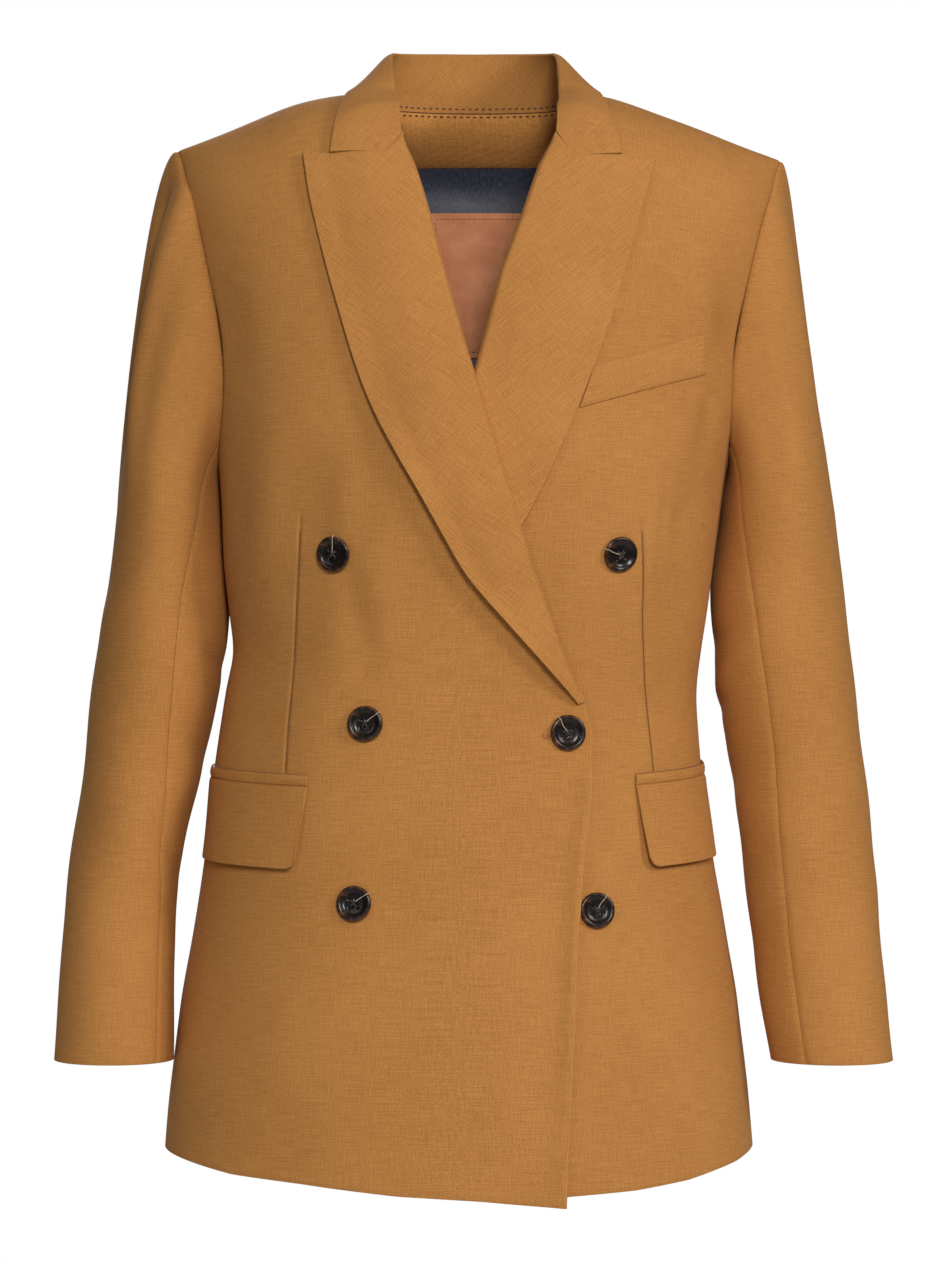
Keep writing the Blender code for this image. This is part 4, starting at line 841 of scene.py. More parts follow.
def hem_level(side, angle):
    """Levels of the hem round one side."""
    power = 2 / BODY_ROWS[-1].squareness
    across = np.sign(angle) * abs(np.sin(angle)) ** power
    end = linear(HEM_ROWS, side, SIGN[side])
    behind = end + (HEM_BACK - end) * blend(np.pi / 2, np.radians(HEM_TURN), abs(angle))
    return np.where(abs(angle) <= np.pi / 2, linear(HEM_ROWS, side, across), behind)


# Shells of cloth

def from_edge(grid, edge):
    """A view of a grid whose first row is the named edge."""
    axis, step = EDGES[edge]
    return np.moveaxis(grid, axis, 0)[::step]


def distance_from(points, edge):
    """Distance over a grid from one of its edges."""
    lengths = np.zeros(points.shape[:2])
    steps = np.linalg.norm(np.diff(from_edge(points, edge), axis=0), axis=-1)
    from_edge(lengths, edge)[1:] = np.cumsum(steps, axis=0)
    return lengths


def trimmed(points, amount, edges):
    """A grid with the named edges drawn in by an amount."""
    drawn = points.copy()
    for edge in edges:
        rows = from_edge(points, edge)
        from_edge(drawn, edge)[0] += amount * unit(rows[1] - rows[0])
    return drawn


def grid_normals(points):
    return unit(np.cross(np.gradient(points, axis=0), np.gradient(points, axis=1)))


def pressed(points, normals, dips, width=SEAM_SOFT):
    """A grid whose cloth dips towards its seams, to a depth at each edge."""
    dip = np.zeros(points.shape[:2])
    for edge, depth in dips.items():
        dip += depth * np.exp(-((distance_from(points, edge) / width) ** 2))
    return lifted(points, -dip, normals)


def off_the_edge(rows, ups):
    """Unit vectors off a grid's first row, square to it and along the cloth."""
    across = unit(np.cross(np.gradient(rows[0], axis=0), ups[0]))
    return across * np.sign(np.sum(across * (rows[0] - rows[1]), -1, keepdims=True))


def turned_in(points, normals, places, edges, meets=ALLOWANCE_MEETS):
    """A grid with a row added at each named edge, folded inwards as a seam's allowance."""
    grids = [points, normals, places]
    for edge in edges:
        axis, step = EDGES[edge]
        rows, ups, spots = (from_edge(grid, edge) for grid in grids)
        away = off_the_edge(rows, ups)
        rows = np.concatenate([[rows[0] - ALLOWANCE * ups[0] + meets * away], rows])
        ups = np.concatenate([[away], [unit(ups[0] + away)], ups[1:]])
        spots = np.concatenate([[2 * spots[0] - spots[1]], spots])
        grids = [np.moveaxis(grid[::step], 0, axis) for grid in (rows, ups, spots)]
    return grids


def shell(outer, normals, thickness, cloth_uv, free):
    """Points, faces and places on the cloth of a closed wall on a grid of outer points.

    The free edges have round rims.
    """
    rows, columns = outer.shape[:2]
    index = np.arange(rows * columns).reshape(rows, columns)
    quads = np.stack([index[:-1, :-1], index[1:, :-1], index[1:, 1:], index[:-1, 1:]], -1)
    quads = quads.reshape(-1, 4)
    border = np.concatenate([index[0, :-1], index[:-1, -1], index[-1, :0:-1], index[:0:-1, 0]])
    away = np.zeros_like(outer)
    for edge in free:
        line = from_edge(outer, edge)
        from_edge(away, edge)[0] += unit(line[0] - line[1])
    away = away.reshape(-1, 3)[border]
    flat, ups = outer.reshape(-1, 3), normals.reshape(-1, 3)
    middle = flat[border] - thickness / 2 * ups[border]
    rings = []
    for turn in np.radians((45, 90, 135)):
        lift = thickness / 2 * np.cos(turn) * ups[border]
        rings.append(middle + lift + EDGE_ROUND * np.sin(turn) * away)
    count, rim = rows * columns, len(border)
    points = np.concatenate([flat, flat - thickness * ups, *rings])
    places = cloth_uv.reshape(-1, 2)
    uvs = np.concatenate([places, places, *[places[border]] * len(rings)])
    loops = [2 * count + rim * k + np.arange(rim) for k in range(len(rings))]
    loops = [border, *loops, border + count]
    faces = [quads, quads[:, ::-1] + count]
    for a, b in zip(loops, loops[1:]):
        faces.append(np.stack([a, np.roll(a, -1), np.roll(b, -1), b], -1))
    faces = np.concatenate(faces)
    facing = np.cross(outer[1:, :-1] - outer[:-1, :-1], outer[:-1, 1:] - outer[:-1, :-1])
    if (facing * normals[:-1, :-1]).sum() < 0:
        faces = faces[:, ::-1]
    return points, faces, uvs


def add_mesh(name, points, faces, material, uvs=None, sharp=45):
    """A smooth mesh, sharp over an angle in degrees, in the material of that name."""
    mesh = bpy.data.meshes.new(name)
    mesh.from_pydata([tuple(p) for p in points], [], [tuple(f) for f in faces])
    mesh.update()
    if uvs is not None:
        layer = mesh.uv_layers.new(name="cloth")
        places = np.zeros(len(mesh.loops), int)
        mesh.loops.foreach_get("vertex_index", places)
        layer.data.foreach_set("uv", np.asarray(uvs)[places].ravel())
    mesh.shade_smooth()
    mesh.set_sharp_from_angle(angle=np.radians(sharp))
    mesh.materials.append(MATERIALS[material])
    piece = bpy.data.objects.new(name, mesh)
    bpy.context.scene.collection.objects.link(piece)
    return piece


def dress(piece, nodes=()):
    """Fastens a piece to the part, in place of the named nodes."""
    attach(piece, "root")
    if nodes:
        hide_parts(*nodes)


def cloth(node, points, normals, place, free=(), rests_on=()):
    """A cloth wall on a grid of outer points, in place of its node and with that node's cut."""
    cut = CUTS.get(node) or CUTS[node.rsplit("_", 1)[0]]
    wall, faces, uvs = shell(points, normals, cut.wall, place, free)
    piece = add_mesh(node + "_cloth", wall, faces, cut.material, uvs)
    dress(piece, [node])


def close_columns(count, near=SEAM_COLUMNS, width=PANEL_WIDTH):
    """Shares across a panel, closer together at both edges."""
    ends = np.array(near) / width
    inner = np.linspace(0, 1, count + 1)[1:-1]
    inner = inner[(inner > ends[-1]) & (inner < 1 - ends[-1])]
    return np.concatenate([[0.0], ends, inner, 1 - ends[::-1], [1.0]])


# Threads and stitches

def circle(count):
    """Cosines and sines all round a circle."""
    turn = np.linspace(0, 2 * np.pi, count, endpoint=False)
    return np.stack([np.cos(turn), np.sin(turn)], -1)


def ring_faces(rings, sides):
    """Faces between rings of points, from each ring to the next."""
    around = np.arange(sides)
    first = sides * np.arange(rings - 1)[:, None]
    low, next_low = first + around, first + np.roll(around, -1)
    return np.stack([low, next_low, next_low + sides, low + sides], -1).reshape(-1, 4)


def tube(path, radius, sides=7):
    """Points and faces of a round thread along a path."""
    ahead = unit(np.gradient(path, axis=0))
    aside = unit(np.cross(ahead, (0.21, 0.37, 0.90)))
    rings = circle(sides) @ np.stack([aside, np.cross(ahead, aside)], 1)
    return (path[:, None] + radius * rings).reshape(-1, 3), ring_faces(len(path), sides)


def threads_mesh(name, paths, radius, material):
    """Round threads along paths, as one mesh."""
    points, faces, base = [], [], 0
    for path in paths:
        ring_points, tube_faces = tube(path, radius)
        points.append(ring_points)
        faces.append(tube_faces + base)
        base += len(ring_points)
    return add_mesh(name, np.concatenate(points), np.concatenate(faces), material, sharp=80)


def sew(name, paths, radius, material):
    dress(threads_mesh(name, paths, radius, material))


def stitches(name, path, length, gap, radius, material):
    """A row of short stitches along a path, each one thinner at its ends."""
    lengths = lengths_along(path)
    points, faces = [], []
    for k in range(int(lengths[-1] // (length + gap))):
        at = (length + gap) * k + gap / 2 + length * STITCH_SHARES
        line = np.stack([np.interp(at, lengths, row) for row in path.T], -1)
        ahead = unit(line[-1] - line[0])
        aside = unit(np.cross(ahead, (0.13, 0.31, 0.94)))
        ring = circle(STITCH_SIDES) @ np.stack([aside, np.cross(ahead, aside)])
        faces.append(ring_faces(len(line), STITCH_SIDES) + STITCH_SIDES * len(points))
        points += [place + radius * thick * ring for place, thick in zip(line, STITCH_THICK)]
    row = add_mesh(name, np.concatenate(points), np.concatenate(faces), material, sharp=80)
    dress(row)


# Materials

def new_material(name, numbers):
    """A material with numbers on its shader, a maker of its nodes, and a way to paint it."""
    material = bpy.data.materials.new(name)
    MATERIALS[name] = material
    material.use_nodes = True
    tree = material.node_tree
    shader = tree.nodes["Principled BSDF"]
    for key, value in numbers.items():
        shader.inputs[key].default_value = value

    def make(kind, settings=(), inputs=()):
        made = tree.nodes.new("ShaderNode" + kind)
        for key, value in dict(settings).items():
            setattr(made, key, value)
        for key, value in dict(inputs).items():
            if isinstance(value, bpy.types.NodeSocket):
                tree.links.new(value, made.inputs[key])
            else:
                made.inputs[key].default_value = value
        return made

    def paint(colour, height=None, strength=0.0, distance=0.0):
        tree.links.new(colour, shader.inputs["Base Color"])
        if height is not None:
            settings = {"Strength": strength, "Distance": distance, "Height": height}
            tree.links.new(make("Bump", {}, settings).outputs[0], shader.inputs["Normal"])

    return make, paint


def cloth_place(make, turn=0.0):
    """The place on the cloth in metres, turned by an angle in degrees."""
    uv = make("UVMap", {"uv_map": "cloth"})
    turned = make("Mapping", {}, {"Vector": uv.outputs[0], "Rotation": (0, 0, np.radians(turn))})
    return turned.outputs[0]


def streaks(make, place, across, down, detail=2.0):
    """Noise drawn out along one thread direction: cycles a metre across and down."""
    scaled = make("Mapping", {}, {"Vector": place, "Scale": (across, down, 1.0)})
    inputs = {"Vector": scaled.outputs[0], "Scale": 1.0, "Detail": detail, "Roughness": 0.6}
    return make("TexNoise", {"noise_dimensions": "2D"}, inputs).outputs[0]


def weighted(make, *parts):
    """The sum of values, each times its weight."""
    total = 0.0
    for value, weight in parts:
        inputs = {0: value, 1: weight, 2: total}
        total = make("Math", {"operation": "MULTIPLY_ADD"}, inputs).outputs[0]
    return total


def colour_ramp(make, factor, stops):
    """A ramp through (place, colour) stops."""
    ramp = make("ValToRGB", {}, {0: factor})
    elements = ramp.color_ramp.elements
    while len(elements) < len(stops):
        elements.new(0.5)
    for element, (place, colour) in zip(elements, stops):
        element.position = place
        element.color = (*colour, 1.0)
    return ramp.outputs[0]


def bands(make, direction, place, scale, distortion=0.0, detail=2.0):
    """Even waves across a cloth."""
    settings = {"wave_type": "BANDS", "bands_direction": direction, "wave_profile": "SIN"}
    inputs = {"Vector": place, "Scale": scale, "Distortion": distortion, "Detail": detail}
    return make("TexWave", settings, inputs).outputs[1]


def weave(make, place, pitch):
    """Height of a plain weave of threads at a pitch in metres."""
    warp, weft = (bands(make, direction, place, 0.314 / pitch) for direction in "XY")
    return make("Math", {"operation": "MULTIPLY"}, {0: warp, 1: weft}).outputs[0]


def wool(row):
    """Fine plain weave camel wool with faint slubs, and ribs where the row gives their pitch."""
    make, paint = new_material(row.name, WOOL_FINISH)
    place = cloth_place(make, row.turn)
    warp = streaks(make, place, 1400.0, 70.0)
    weft = streaks(make, place, 50.0, 1400.0)
    fibre = streaks(make, place, 950.0, 950.0, 3.0)
    clouds = streaks(make, place, 9.0, 9.0)
    woven = weighted(make, (warp, 0.22), (weft, 0.28), (fibre, 0.36), (clouds, 0.14))
    low, high = WOOL_COLOURS * row.tone
    colour = colour_ramp(make, woven, [(0.38, low), (0.50, (low + high) / 2), (0.62, high)])
    height = weighted(make, (weave(make, place, WEAVE_PITCH), 0.3), (woven, 1.0))
    if row.twill:
        ribs = bands(make, "DIAGONAL", place, 0.22 / row.twill, 0.6, 1.0)
        height = weighted(make, (ribs, 0.8), (height, 1.0))
    paint(colour, height, 0.30, 0.0003)


def satin(name):
    """Navy lining with a soft sheen and faint ripples."""
    make, paint = new_material(name, SATIN_FINISH)
    place = cloth_place(make)
    fine = streaks(make, place, 2600.0, 260.0)
    ripples = streaks(make, place, 42.0, 16.0)
    colour = colour_ramp(make, fine, list(zip((0.35, 0.65), SATIN_COLOURS)))
    paint(colour, weighted(make, (fine, 0.06), (ripples, 1.0)), 0.5, 0.0025)


def leather(name):
    """Tan suede-like leather, cloudy, with a fine grain."""
    make, paint = new_material(name, LEATHER_FINISH)
    place = cloth_place(make)
    clouds = streaks(make, place, 38.0, 38.0, 4.0)
    pores = streaks(make, place, 900.0, 900.0, 3.0)
    inputs = {"Vector": place, "Scale": 1300.0, "Randomness": 1.0}
    grain = make("TexVoronoi", {"voronoi_dimensions": "2D"}, inputs).outputs[0]
    shade = weighted(make, (clouds, 0.75), (pores, 0.25))
    colour = colour_ramp(make, shade, list(zip((0.32, 0.68), LEATHER_COLOURS)))
    paint(colour, weighted(make, (grain, 0.5), (pores, 1.0)), 0.35, 0.0004)


def horn(name):
    """Dark horn: nearly black in the middle, brown and cloudy towards the rim, polished."""
    make, paint = new_material(name, HORN_FINISH)
    uv = make("UVMap", {"uv_map": "cloth"}).outputs[0]
    outwards = make("SeparateXYZ", {}, {0: uv}).outputs[0]
    turned = make("Mapping", {}, {"Vector": uv, "Scale": (1.6, 5.0, 1.0)})
    inputs = {"Vector": turned.outputs[0], "Scale": 1.4, "Detail": 4.0, "Roughness": 0.6}
    clouds = make("TexNoise", {"noise_dimensions": "2D"}, inputs).outputs[0]
    shade = weighted(make, (outwards, 0.42), (clouds, 0.9))
    paint(colour_ramp(make, shade, list(zip((0.55, 0.80, 0.98), HORN_COLOURS))))


def thread(name, colour):
    """Twisted sewing thread."""
    make, paint = new_material(name, THREAD_FINISH)
    place = make("TexCoord").outputs["Object"]
    noise = make("TexNoise", {}, {"Vector": place, "Scale": 2600.0, "Detail": 2.0}).outputs[0]
    light = np.array(colour)
    paint(colour_ramp(make, noise, [(0.35, light * 0.7), (0.65, light)]), noise, 0.5, 0.0002)


# Fronts and backs

def cloth_places(angle, level):
    """Where points of the body lie on the flat cloth, in metres."""
    return np.stack([angle * CLOTH_RADIUS, level + 0.0 * angle], -1)


def dart_x(side, z):
    return linear(DART_ROWS, side + "_x", z)


def dart_hollow(side, x, z):
    """How far the cloth sinks into a front's dart."""
    starts, opens, closes, ends = DART_ENDS
    open_dart = blend(-starts, -opens, -z) * (1 - blend(-closes, -ends, -z))
    return DART_DEPTH * open_dart * np.exp(-(((x - dart_x(side, z)) / DART_WIDTH) ** 2))


def front_shares(side, start, end, level):
    """Shares across a front, row by row, with columns gathered along its dart."""
    plain = close_columns(PANEL_COLUMNS)
    x = dart_x(side, level)
    place = (angle_of_x(x, level) - start) / (end - start)
    dart = np.clip(place, *DART_SHARES)
    near = np.array(DART_NEAR) / PANEL_WIDTH
    before = plain[plain < 0.5 - near[-1]]
    after = plain[plain > 0.5 + near[-1]]
    even = np.concatenate([before, 0.5 - near[::-1], [0.5], 0.5 + near, after])
    low = np.minimum(even, 0.5) * 2 * dart[:, None]
    high = np.maximum(even - 0.5, 0.0) * 2 * (1 - dart[:, None])
    return low + high


def edge_lift(side, x, z):
    """How far the right front's free edge curls off the left front below the lapel."""
    if side == "left":
        return 0.0 * x
    away = edge_x(side, z) - x
    down = blend(*EDGE_LIFTS, -z) * (1 - EDGE_SETTLED * blend(*EDGE_SETTLES, -z))
    beyond = np.maximum(0.0, away - EDGE_LIFT_PLACE)
    crest = EDGE_LIFT * np.exp(-((beyond / EDGE_LIFT_WIDTH) ** 2))
    return down * (crest - EDGE_LIFT_FALL * np.clip(1 - away / EDGE_LIFT_PLACE, 0.0, 1.0) ** 2)


def build_front(side):
    """A front from its shoulder to its hem, with the hollow of its dart."""
    degrees = np.linspace(0, 180, ARMHOLE_ROWS + 1)
    end, level = armhole(side, degrees)
    underarm = level[-1]
    below = np.linspace(0, 1, LOWER_ROWS + 1)[1:]
    inner = np.concatenate([level, underarm + (HEM_FRONT - underarm) * below])
    end = np.concatenate([end, side_angle(side, underarm + (HEM_BACK - underarm) * below)])
    hidden = EDGE_BACK * blend(*BACK_STARTS, -inner) * (1 - blend(*BACK_ENDS, -inner))
    start = angle_of_x(edge_x(side, inner) + SIGN[side] * hidden, inner)
    shares = front_shares(side, start, end, inner)
    angle = start[:, None] + (end - start)[:, None] * shares
    level = np.repeat(level[:, None], shares.shape[1], 1)
    hem = hem_level(side, angle[len(degrees):])
    level = np.concatenate([level, underarm + (hem - underarm) * below[:, None]])
    base, normals, x, z = body_at(angle, level)
    lift = front_out(side, x, level) + faded_relief(angle, x, z)
    lift = lift - dart_hollow(side, x, z)
    points = lifted(base, lift + edge_lift(side, x, z), normals)
    points = trimmed(points, SEAM / 2, ("top", "last"))
    points = pressed(points, normals, DIPS["front"])
    grids = turned_in(points, normals, cloth_places(angle, level), ("top", "last"))
    cloth("front_" + side, *grids, ("first", "bottom"))


def build_edge_highlight():
    """A lighter tube on the right front's turned edge, below the lapel to the hem: a painted
    highlight.
    """
    z = np.linspace(*EDGE_HIGHLIGHT_ENDS, ROLL_POINTS)
    x = edge_x("right", z) - EDGE_HIGHLIGHT_IN
    points = on_front("right", x, z, edge_lift("right", x, z) + EDGE_HIGHLIGHT_OUT)[0]
    sew("edge_highlight_line", [points], EDGE_HIGHLIGHT_RADIUS, "edge_highlight_wool")


def build_dart_shade_line(side):
    """A dark brown line along a front's dart, painted shadow in its fold."""
    z = np.linspace(DART_ENDS[1], DART_ENDS[2], DART_POINTS)
    points = on_front(side, dart_x(side, z), z, np.full(DART_POINTS, -0.5 * DART_DEPTH))[0]
    sew("dart_" + side, [points], SHADE_LINE_RADIUS, "brown_thread_and_painted_shade")


def neck_places():
    """Shares of the quarter turn and levels of the back neck seam."""
    turn = np.linspace(0, np.pi / 2, NECK_POINTS)
    at = body_section(np.zeros(1))
    share = NECK_HALF * np.sin(turn) / at["half_width"]
    quarter = np.arcsin(share ** (at["squareness"] / 2))
    low, high = np.full(NECK_POINTS, -SHOULDER_ROUND), np.zeros(NECK_POINTS)
    for _ in range(40):
        middle = (low + high) / 2
        deep = body_section(middle)["back_depth"] > NECK_BACK * np.cos(turn)
        low, high = np.where(deep, middle, low), np.where(deep, high, middle)
    low[-1] = 0.0
    return quarter / (np.pi / 2), low


def back_places(side, degrees, below):
    """Angles and levels over a back, from the middle back outwards.

    The rows are at turns round the armhole, then at shares of the way down to the hem.
    """
    neck_shares, neck_levels = neck_places()
    outer = neck_shares[-1] + (1 - neck_shares[-1]) * close_columns(BACK_COLUMNS)[1:]
    shares = np.concatenate([neck_shares, outer])
    near = np.array(SEAM_COLUMNS) / PANEL_WIDTH
    shares = np.concatenate([[0.0], near, shares[shares > near[-1]]])
    tops = np.interp(shares, neck_shares, neck_levels) * (shares <= neck_shares[-1])
    underarm = float(armhole(side, np.array([180.0]))[1][0])
    end, level = armhole(side, degrees)
    lower_end = side_angle(side, underarm + (HEM_BACK - underarm) * below)
    ends = abs(np.concatenate([end, lower_end]))
    angle = SIGN[side] * (np.pi + (ends[:, None] - np.pi) * shares)
    upper = level[:, None] + tops * (1 - level / underarm)[:, None]
    hem = hem_level(side, angle[len(degrees):])
    return angle, np.concatenate([upper, underarm + (hem - underarm) * below[:, None]])


def build_back(side):
    """A back from the neck and shoulder to the hem."""
    degrees = np.linspace(0, -180, ARMHOLE_ROWS + 1)
    angle, level = back_places(side, degrees, np.linspace(0, 1, LOWER_ROWS + 1)[1:])
    base, normals, x, z = body_at(angle, level)
    points = lifted(base, relief(BACK_CREASES, x, z), normals)
    points = trimmed(points, SEAM / 2, ("top", "first", "last"))
    points = pressed(points, normals, DIPS["back"])
    places = cloth_places(angle, level)
    grids = turned_in(points, normals, places, ("top", "first", "last"))
    cloth("back_" + side, *grids, ("bottom",))


# Inside the neck

def joined_level(x, level):
    """The level of the line where the stand and the neck facing meet, straight behind the neck."""
    aside = blend(*JOIN_PLACE, abs(x))
    return (1 - aside) * JOIN_LEVEL + aside * (level + LIE)


def straightened(angle, level, row):
    """Levels whose given row lies straight across behind the neck."""
    x = body_base(angle[row], level[row])[:, 0]
    near = 1 - blend(*FACING_STRAIGHT, abs(x))
    reach = np.clip(1 - (level[row] - level) / FACING_SETTLES, 0.0, 1.0)
    above = np.clip((level[0] - level) / np.maximum(level[0] - level[row], 1e-6), 0.0, 1.0)
    share = above if row else reach
    return level + near * share * (FACING_LEVEL - level[row])


def wall_places(degrees, below, columns):
    """Angles and levels over both backs, at turns round the armhole and shares down.

    The columns kept are so many on either side of the middle back.
    """
    right, left = back_places("right", degrees, below), back_places("left", degrees, below)
    angle = np.concatenate([right[0][:, :0:-1] + 2 * np.pi, left[0]], 1)
    level = np.concatenate([right[1][:, :0:-1], left[1]], 1)
    middle = angle.shape[1] // 2
    kept = slice(middle - columns, middle + columns + 1)
    return angle[:, kept], level[:, kept]


def facing_grid(outward):
    """Points, normals and places of the neck facing, straight down from the stand's foot."""
    turns = np.linspace(0, -FACING_TURN, FACING_ROWS)
    angle, level = wall_places(turns, np.zeros(0), len(neck_places()[0]) + 2)
    level = straightened(angle, level, -1)
    base, normals, x, z = body_at(angle, level)
    points = lifted(base, outward + inner_relief(x, z), normals)
    points = trimmed(points, SEAM / 2, ("top", "bottom"))
    joined = points[:1] * (JOIN_INSIDE, JOIN_INSIDE, 0)
    joined[..., 2] = joined_level(x[0], z[0])
    points = np.concatenate([joined, points])
    place = cloth_places(angle, level)
    place = np.concatenate([2 * place[:1] - place[1:2], place])
    share = np.linspace(0, 1, len(points))[:, None, None]
    straight = points[:1] + (points[-1:] - points[:1]) * share
    straight[..., 1] -= FACING_BOW * 4 * (share * (1 - share))[..., 0]
    near = 1 - blend(*JOIN_PLACE, abs(x[:1]))[..., None]
    points = points + near * (straight - points)
    normals = grid_normals(points)
    normals = normals * np.sign(normals[..., 1].sum())
    return pressed(points, -normals, DIPS["facing"], TRIM_SOFT), normals, place


def build_facing(outward):
    """The neck facing, and the seam and the stitches along its top."""
    points, normals, place = facing_grid(outward)
    cloth("neck_facing", points, normals, place)
    inner = points - (LINING + NECK_LINE_OUT) * normals
    kept = abs(inner[0, :, 0]) < FACING_SEWN
    top, step = inner[0, kept], inner[1, kept] - inner[0, kept]
    fine = np.linspace(0, 1, SEAM_POINTS)
    seam, row = (along(top + step * (down / FACING_STEP), fine) for down in NECK_LINES)
    stitches("facing_stitches", row, *NECK_STITCH, "neck_thread")
    sew("neck_seam", [seam], NECK_THREAD, "neck_thread")


def build_inside():
    """The neck facing, the lining below it, and the bare leather patch on the lining."""
    inward = -(WALL + SEAM)
    build_facing(inward)
    turns = np.linspace(-FACING_TURN, -180, LINING_ROWS[0])
    below = np.linspace(0, LINING_HEM, LINING_ROWS[1])[1:]
    angle, level = wall_places(turns, below, LINING_COLUMNS)
    level = straightened(angle, level, 0)
    base, normals, x, z = body_at(angle, level)
    waves = SATIN_SHARE * SATIN_RIPPLE * (1 / SATIN_SHARE + ripple(x, z, *SATIN_WAVES))
    points = lifted(base, inward - waves + inner_relief(x, z), normals)
    points = trimmed(points, SEAM / 2, ("top", "bottom"))
    cloth("lining_back", points, normals, cloth_places(angle, level))
    build_label(inward - LINING - 2 * SATIN_RIPPLE - LABEL_CLEAR)


def label_point(across, down, outward):
    """Points on the patch at shares of its width and height, and the normals there."""
    level = LABEL_HIGH[1] + (LABEL_LOW[1] - LABEL_HIGH[1]) * down
    x = LABEL_LOW[0] + (LABEL_HIGH[0] - LABEL_LOW[0]) * across
    base, normals, base_x, base_z = body_at(np.pi - angle_of_x(x, level), level)
    return lifted(base, outward + inner_relief(base_x, base_z), normals), normals


def build_label(outward):
    """The bare leather patch, grooved by the stitches round its edge."""
    width, height = LABEL_SIZE
    shares = [close_columns(count, LABEL_COLUMNS, 1.0) for count in LABEL_COUNTS]
    across, down = np.meshgrid(*shares)
    worn = ripple(across, down, *LABEL_RIPPLE)
    edge = np.minimum(np.minimum(across, 1 - across) * width, np.minimum(down, 1 - down) * height)
    deep, wide = LABEL_GROOVE
    groove = deep * np.exp(-(((edge - LABEL_STITCH) / wide) ** 2))
    points, normals = label_point(across, down, outward + worn + groove)
    cloth("label_patch", points, normals, np.stack([across * width, down * height], -1), EDGES)
    low = LABEL_STITCH / width
    high = 1 - low
    corners = [(low, high), (low, low), (high, low), (high, high), (low, high)]
    path = along(corners, np.linspace(0, 1, LABEL_POINTS))
    sunk = np.full(LABEL_POINTS, outward - LEATHER - LABEL_THREAD_OUT)
    points = label_point(path[:, 0], path[:, 1], sunk)[0]
    stitches("label_stitches", points, *LABEL_THREAD, "brown_thread_and_painted_shade")


# Lapels

def notch_shares(side):
    """Shares of a lapel's top line up to the gorge's corner and to the open notch."""
    lengths = lengths_along(np.array(LAPEL_TOP[side]))
    return lengths[1:3] / lengths[-1]


def lapel_shares(side, width):
    """Shares across a lapel, row by row, close together at the roll line and the edge."""
    corner, notch = notch_shares(side)
    near = np.array(ROLL_NEAR) / width[:, None]
    near = near * np.minimum(1.0, ROLL_REACH * corner / near[:, -1:])
    fixed = np.concatenate([
        [corner * LAPEL_BEFORE], np.linspace(corner, notch, GORGE_COLUMNS),
        np.linspace(notch, 1, PEAK_COLUMNS)[1:-1], PEAK_NEAR,
    ])
    return np.concatenate([near, np.repeat(fixed[None], len(width), 0)], 1)


def build_lapel(side):
    """A peaked lapel that rolls over at the roll line and stands off towards its edge."""
    top, edge, sign = np.array(LAPEL_TOP[side]), np.array(LAPEL_EDGE[side]), SIGN[side]
    share = LAPEL_TIP * np.linspace(0, 1, LAPEL_ROWS + 1) ** LAPEL_ROW_GROWTH
    level = ROLL_TOP + (BREAK - ROLL_TOP) * share
    roll = np.stack([edge_x(side, level) - sign * LAPEL_OVER, level], -1)
    roll = roll + (top[0] - roll[0]) * ((1 - share) ** LAPEL_TOP_FADE)[:, None]
    outer = along(curve_through(edge, LAPEL_POINTS), share)
    width = np.linalg.norm(outer - roll, axis=1)
    across = lapel_shares(side, width)
    sag = along(top, across) - (top[0] + (top[-1] - top[0]) * across[..., None])
    place = roll[:, None] + (outer - roll)[:, None] * across[..., None]
    place = place + sag * ((1 - share) ** LAPEL_SAG_FADE)[:, None, None]
    fade = (1 - blend(*LAPEL_FADE[side], share))[:, None]
    soft = LAPEL_ROLL * fade * np.sin(np.pi * np.minimum(1.0, across / LAPEL_ROLL_SHARE))
    lift = LAPEL_LIFT_TOP + (LAPEL_LIFT[side] - LAPEL_LIFT_TOP) * blend(*LAPEL_LIFTS, share)
    lift = (lift * (1 - blend(*LAPEL_SETTLES, share)))[:, None]
    near = np.minimum(1.0, across * width[:, None] / ROLL_WIDTH)
    rolled = (blend(*ROLL_STARTS, share) * (1 - blend(*ROLL_ENDS, share)))[:, None]
    out = LIE + WALL + soft + lift * across**2 - ROLL_DROP * (1 - near) ** 2 * rolled
    x, z = place[..., 0], place[..., 1]
    points, normals = on_front(side, x, z, out)
    points = lifted(points, ripple(x, z, *LAPEL_RIPPLE), normals)
    points = trimmed(points, SEAM, ("top",))
    points = pressed(points, normals, DIPS["lapel"], TRIM_SOFT)
    free = ("first", "last", "bottom")
    cloth("lapel_" + side, points, normals, place, free, ["front_" + side])


# Collar

def on_shoulder(x, y, out):
    """Points a distance out from the shoulder, over places seen from above."""
    level = level_of_z(x, height_at(x, y))
    base, normals = body_at(angle_of_x(x, level), level)[:2]
    return lifted(base, out, normals)


def collar_at(index):
    rows = np.arange(len(COLLAR_ROWS))
    return CollarRow(*[np.interp(index, rows, column) for column in np.array(COLLAR_ROWS).T])


def fold_at(side, index, down=0.0):
    """A point of the collar's fold, or below it."""
    row = collar_at(index)
    out = row.left_out if side == "left" else 0.0
    return np.array([SIGN[side] * (row.fold_x + out), row.fold_y, row.fold_z - down])


